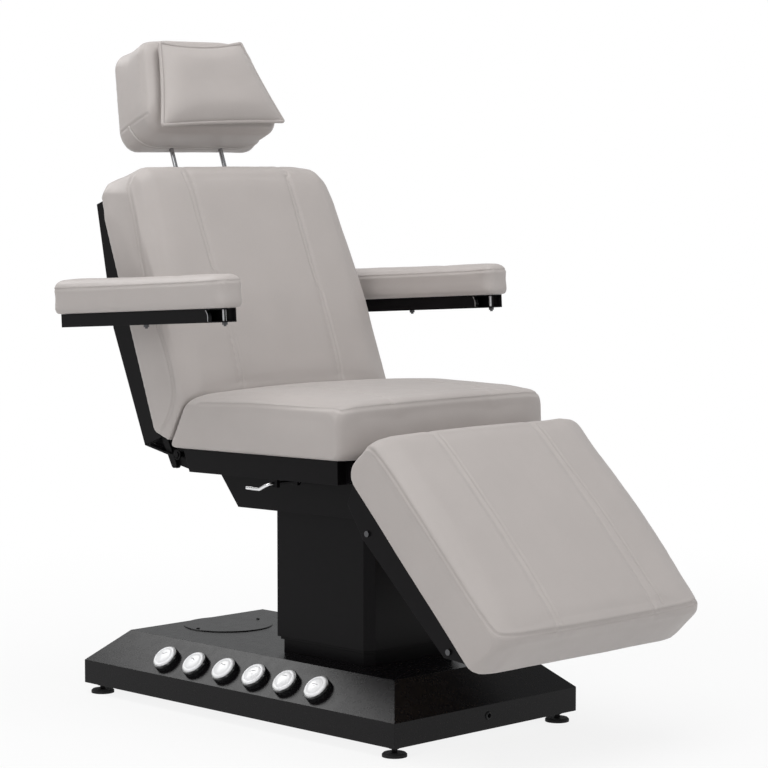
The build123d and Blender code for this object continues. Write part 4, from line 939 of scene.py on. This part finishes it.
for side, side_name in ((-1, "right"), (1, "left")):
    for number in range(6):
        across = Vector((-side, 0, 0))
        outwards = Vector((0, side * cos(cap_lean), sin(cap_lean)))
        upwards = outwards.cross(across)
        centre = ((number - 2.5) * cap_pitch + cap_middle, side * (cap_out + cap_lift * sin(cap_lean)),
                  cap_height - cap_lift * cos(cap_lean))
        place = Matrix((across * 0.001, upwards * 0.001, outwards * 0.001)).transposed().to_4x4()
        place.translation = centre
        body = f"switch_{side_name}_{number + 1}"
        cap = turned(f"switch_dome_{side_name}_{number + 1}", cap_form, place, white_plastic,
                     body)
        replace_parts(cap, f"switch_cap_{side_name}_{number + 1}")
        order = number if side < 0 else 5 - number
        arrow = 1 if order % 2 == 0 else -1
        printed(f"switch_mark_{side_name}_{number + 1}", place, signs[order], arrow, body)


# Floor, light and camera
def floor_material():
    shader = Shader("studio_floor", roughness=0.9, specular_ior_level=0.1)
    cloud = shader.noise(shader.position(), 3.0, 2.0)
    shader.link(shader.ramp(cloud, (0.3, (0.80, 0.80, 0.80)), (0.7, (0.815, 0.815, 0.815))), "Base Color")
    tree = shader.tree
    away = shader.node("ShaderNodeVectorMath", Vector=shader.position())
    away.operation = "LENGTH"
    far = shader.node("ShaderNodeMapRange", Value=away.outputs["Value"], From_Min=0.7, From_Max=2.8,
                      To_Min=0.84)
    far.interpolation_type = "SMOOTHSTEP"
    rays = tree.nodes.new("ShaderNodeLightPath")
    seen = shader.node("ShaderNodeMath")
    seen.operation = "MAXIMUM"
    tree.links.new(rays.outputs["Is Camera Ray"], seen.inputs[0])
    tree.links.new(rays.outputs["Is Glossy Ray"], seen.inputs[1])
    both = shader.node("ShaderNodeMath")
    both.operation = "MULTIPLY"
    tree.links.new(far.outputs["Result"], both.inputs[0])
    tree.links.new(seen.outputs[0], both.inputs[1])
    glow = tree.nodes.new("ShaderNodeEmission")
    glow.inputs["Color"].default_value = (1, 1, 1, 1)
    glow.inputs["Strength"].default_value = 1.0
    mix = tree.nodes.new("ShaderNodeMixShader")
    tree.links.new(both.outputs[0], mix.inputs["Fac"])
    tree.links.new(shader.surface.outputs[0], mix.inputs[1])
    tree.links.new(glow.outputs[0], mix.inputs[2])
    tree.links.new(mix.outputs[0], tree.nodes["Material Output"].inputs["Surface"])
    return shader.material


floor_mesh = bpy.data.meshes.new("floor")
floor_mesh.from_pydata([(-60, -60, 0), (60, -60, 0), (60, 60, 0), (-60, 60, 0)], [], [(0, 1, 2, 3)])
floor = bpy.data.objects.new("floor", floor_mesh)
scene.collection.objects.link(floor)
floor_mesh.materials.append(floor_material())

world = bpy.data.worlds.new("studio")
scene.world = world
world.use_nodes = True
tree = world.node_tree
tree.nodes.clear()
rays = tree.nodes.new("ShaderNodeLightPath")
seen = tree.nodes.new("ShaderNodeMath")
seen.operation = "MAXIMUM"
tree.links.new(rays.outputs["Is Camera Ray"], seen.inputs[0])
tree.links.new(rays.outputs["Is Transmission Ray"], seen.inputs[1])
plain = tree.nodes.new("ShaderNodeBackground")
plain.inputs["Color"].default_value = (1, 1, 1, 1)
plain.inputs["Strength"].default_value = 1.0
fill = tree.nodes.new("ShaderNodeBackground")
fill.inputs["Color"].default_value = (0.98, 0.99, 1.0, 1)
fill.inputs["Strength"].default_value = 0.46
mix = tree.nodes.new("ShaderNodeMixShader")
out = tree.nodes.new("ShaderNodeOutputWorld")
tree.links.new(seen.outputs[0], mix.inputs["Fac"])
tree.links.new(fill.outputs[0], mix.inputs[1])
tree.links.new(plain.outputs[0], mix.inputs[2])
tree.links.new(mix.outputs[0], out.inputs["Surface"])


def lamp(name, place, aim, size, power, colour=(1, 1, 1)):
    light = bpy.data.lights.new(name, "AREA")
    light.shape = "RECTANGLE"
    light.size, light.size_y = size
    light.energy = power
    light.color = colour
    holder = bpy.data.objects.new(name, light)
    scene.collection.objects.link(holder)
    holder.location = place
    holder.rotation_euler = (Vector(aim) - Vector(place)).to_track_quat("-Z", "Y").to_euler()


lamp("overhead", (0.5, -0.6, 4.2), (0.1, 0, 0.6), (3.6, 3.6), 95)
lamp("front_left", (1.0, -4.4, 2.6), (-0.1, 0, 0.8), (2.4, 2.4), 42)
lamp("front_right", (4.2, 1.6, 2.4), (0.2, 0, 0.6), (2.0, 2.4), 26)
lamp("behind", (-3.3, -0.7, 3.3), (-0.1, -0.2, 0.2), (1.5, 1.5), 42)

view = bpy.data.cameras.new("camera")
view.sensor_fit = "HORIZONTAL"
view.sensor_width = 36
view.lens = 126.65
view.clip_start = 0.1
view.clip_end = 400
camera = bpy.data.objects.new("camera", view)
scene.collection.objects.link(camera)
camera.location = (3.9988, -3.9127, 1.1559)
yaw, pitch = radians(135.290), radians(4.6835)
camera.rotation_euler = Vector((cos(yaw) * cos(pitch), sin(yaw) * cos(pitch), -sin(pitch))).to_track_quat(
    "-Z", "Y").to_euler()
scene.camera = camera
scene.view_settings.view_transform = "Standard"
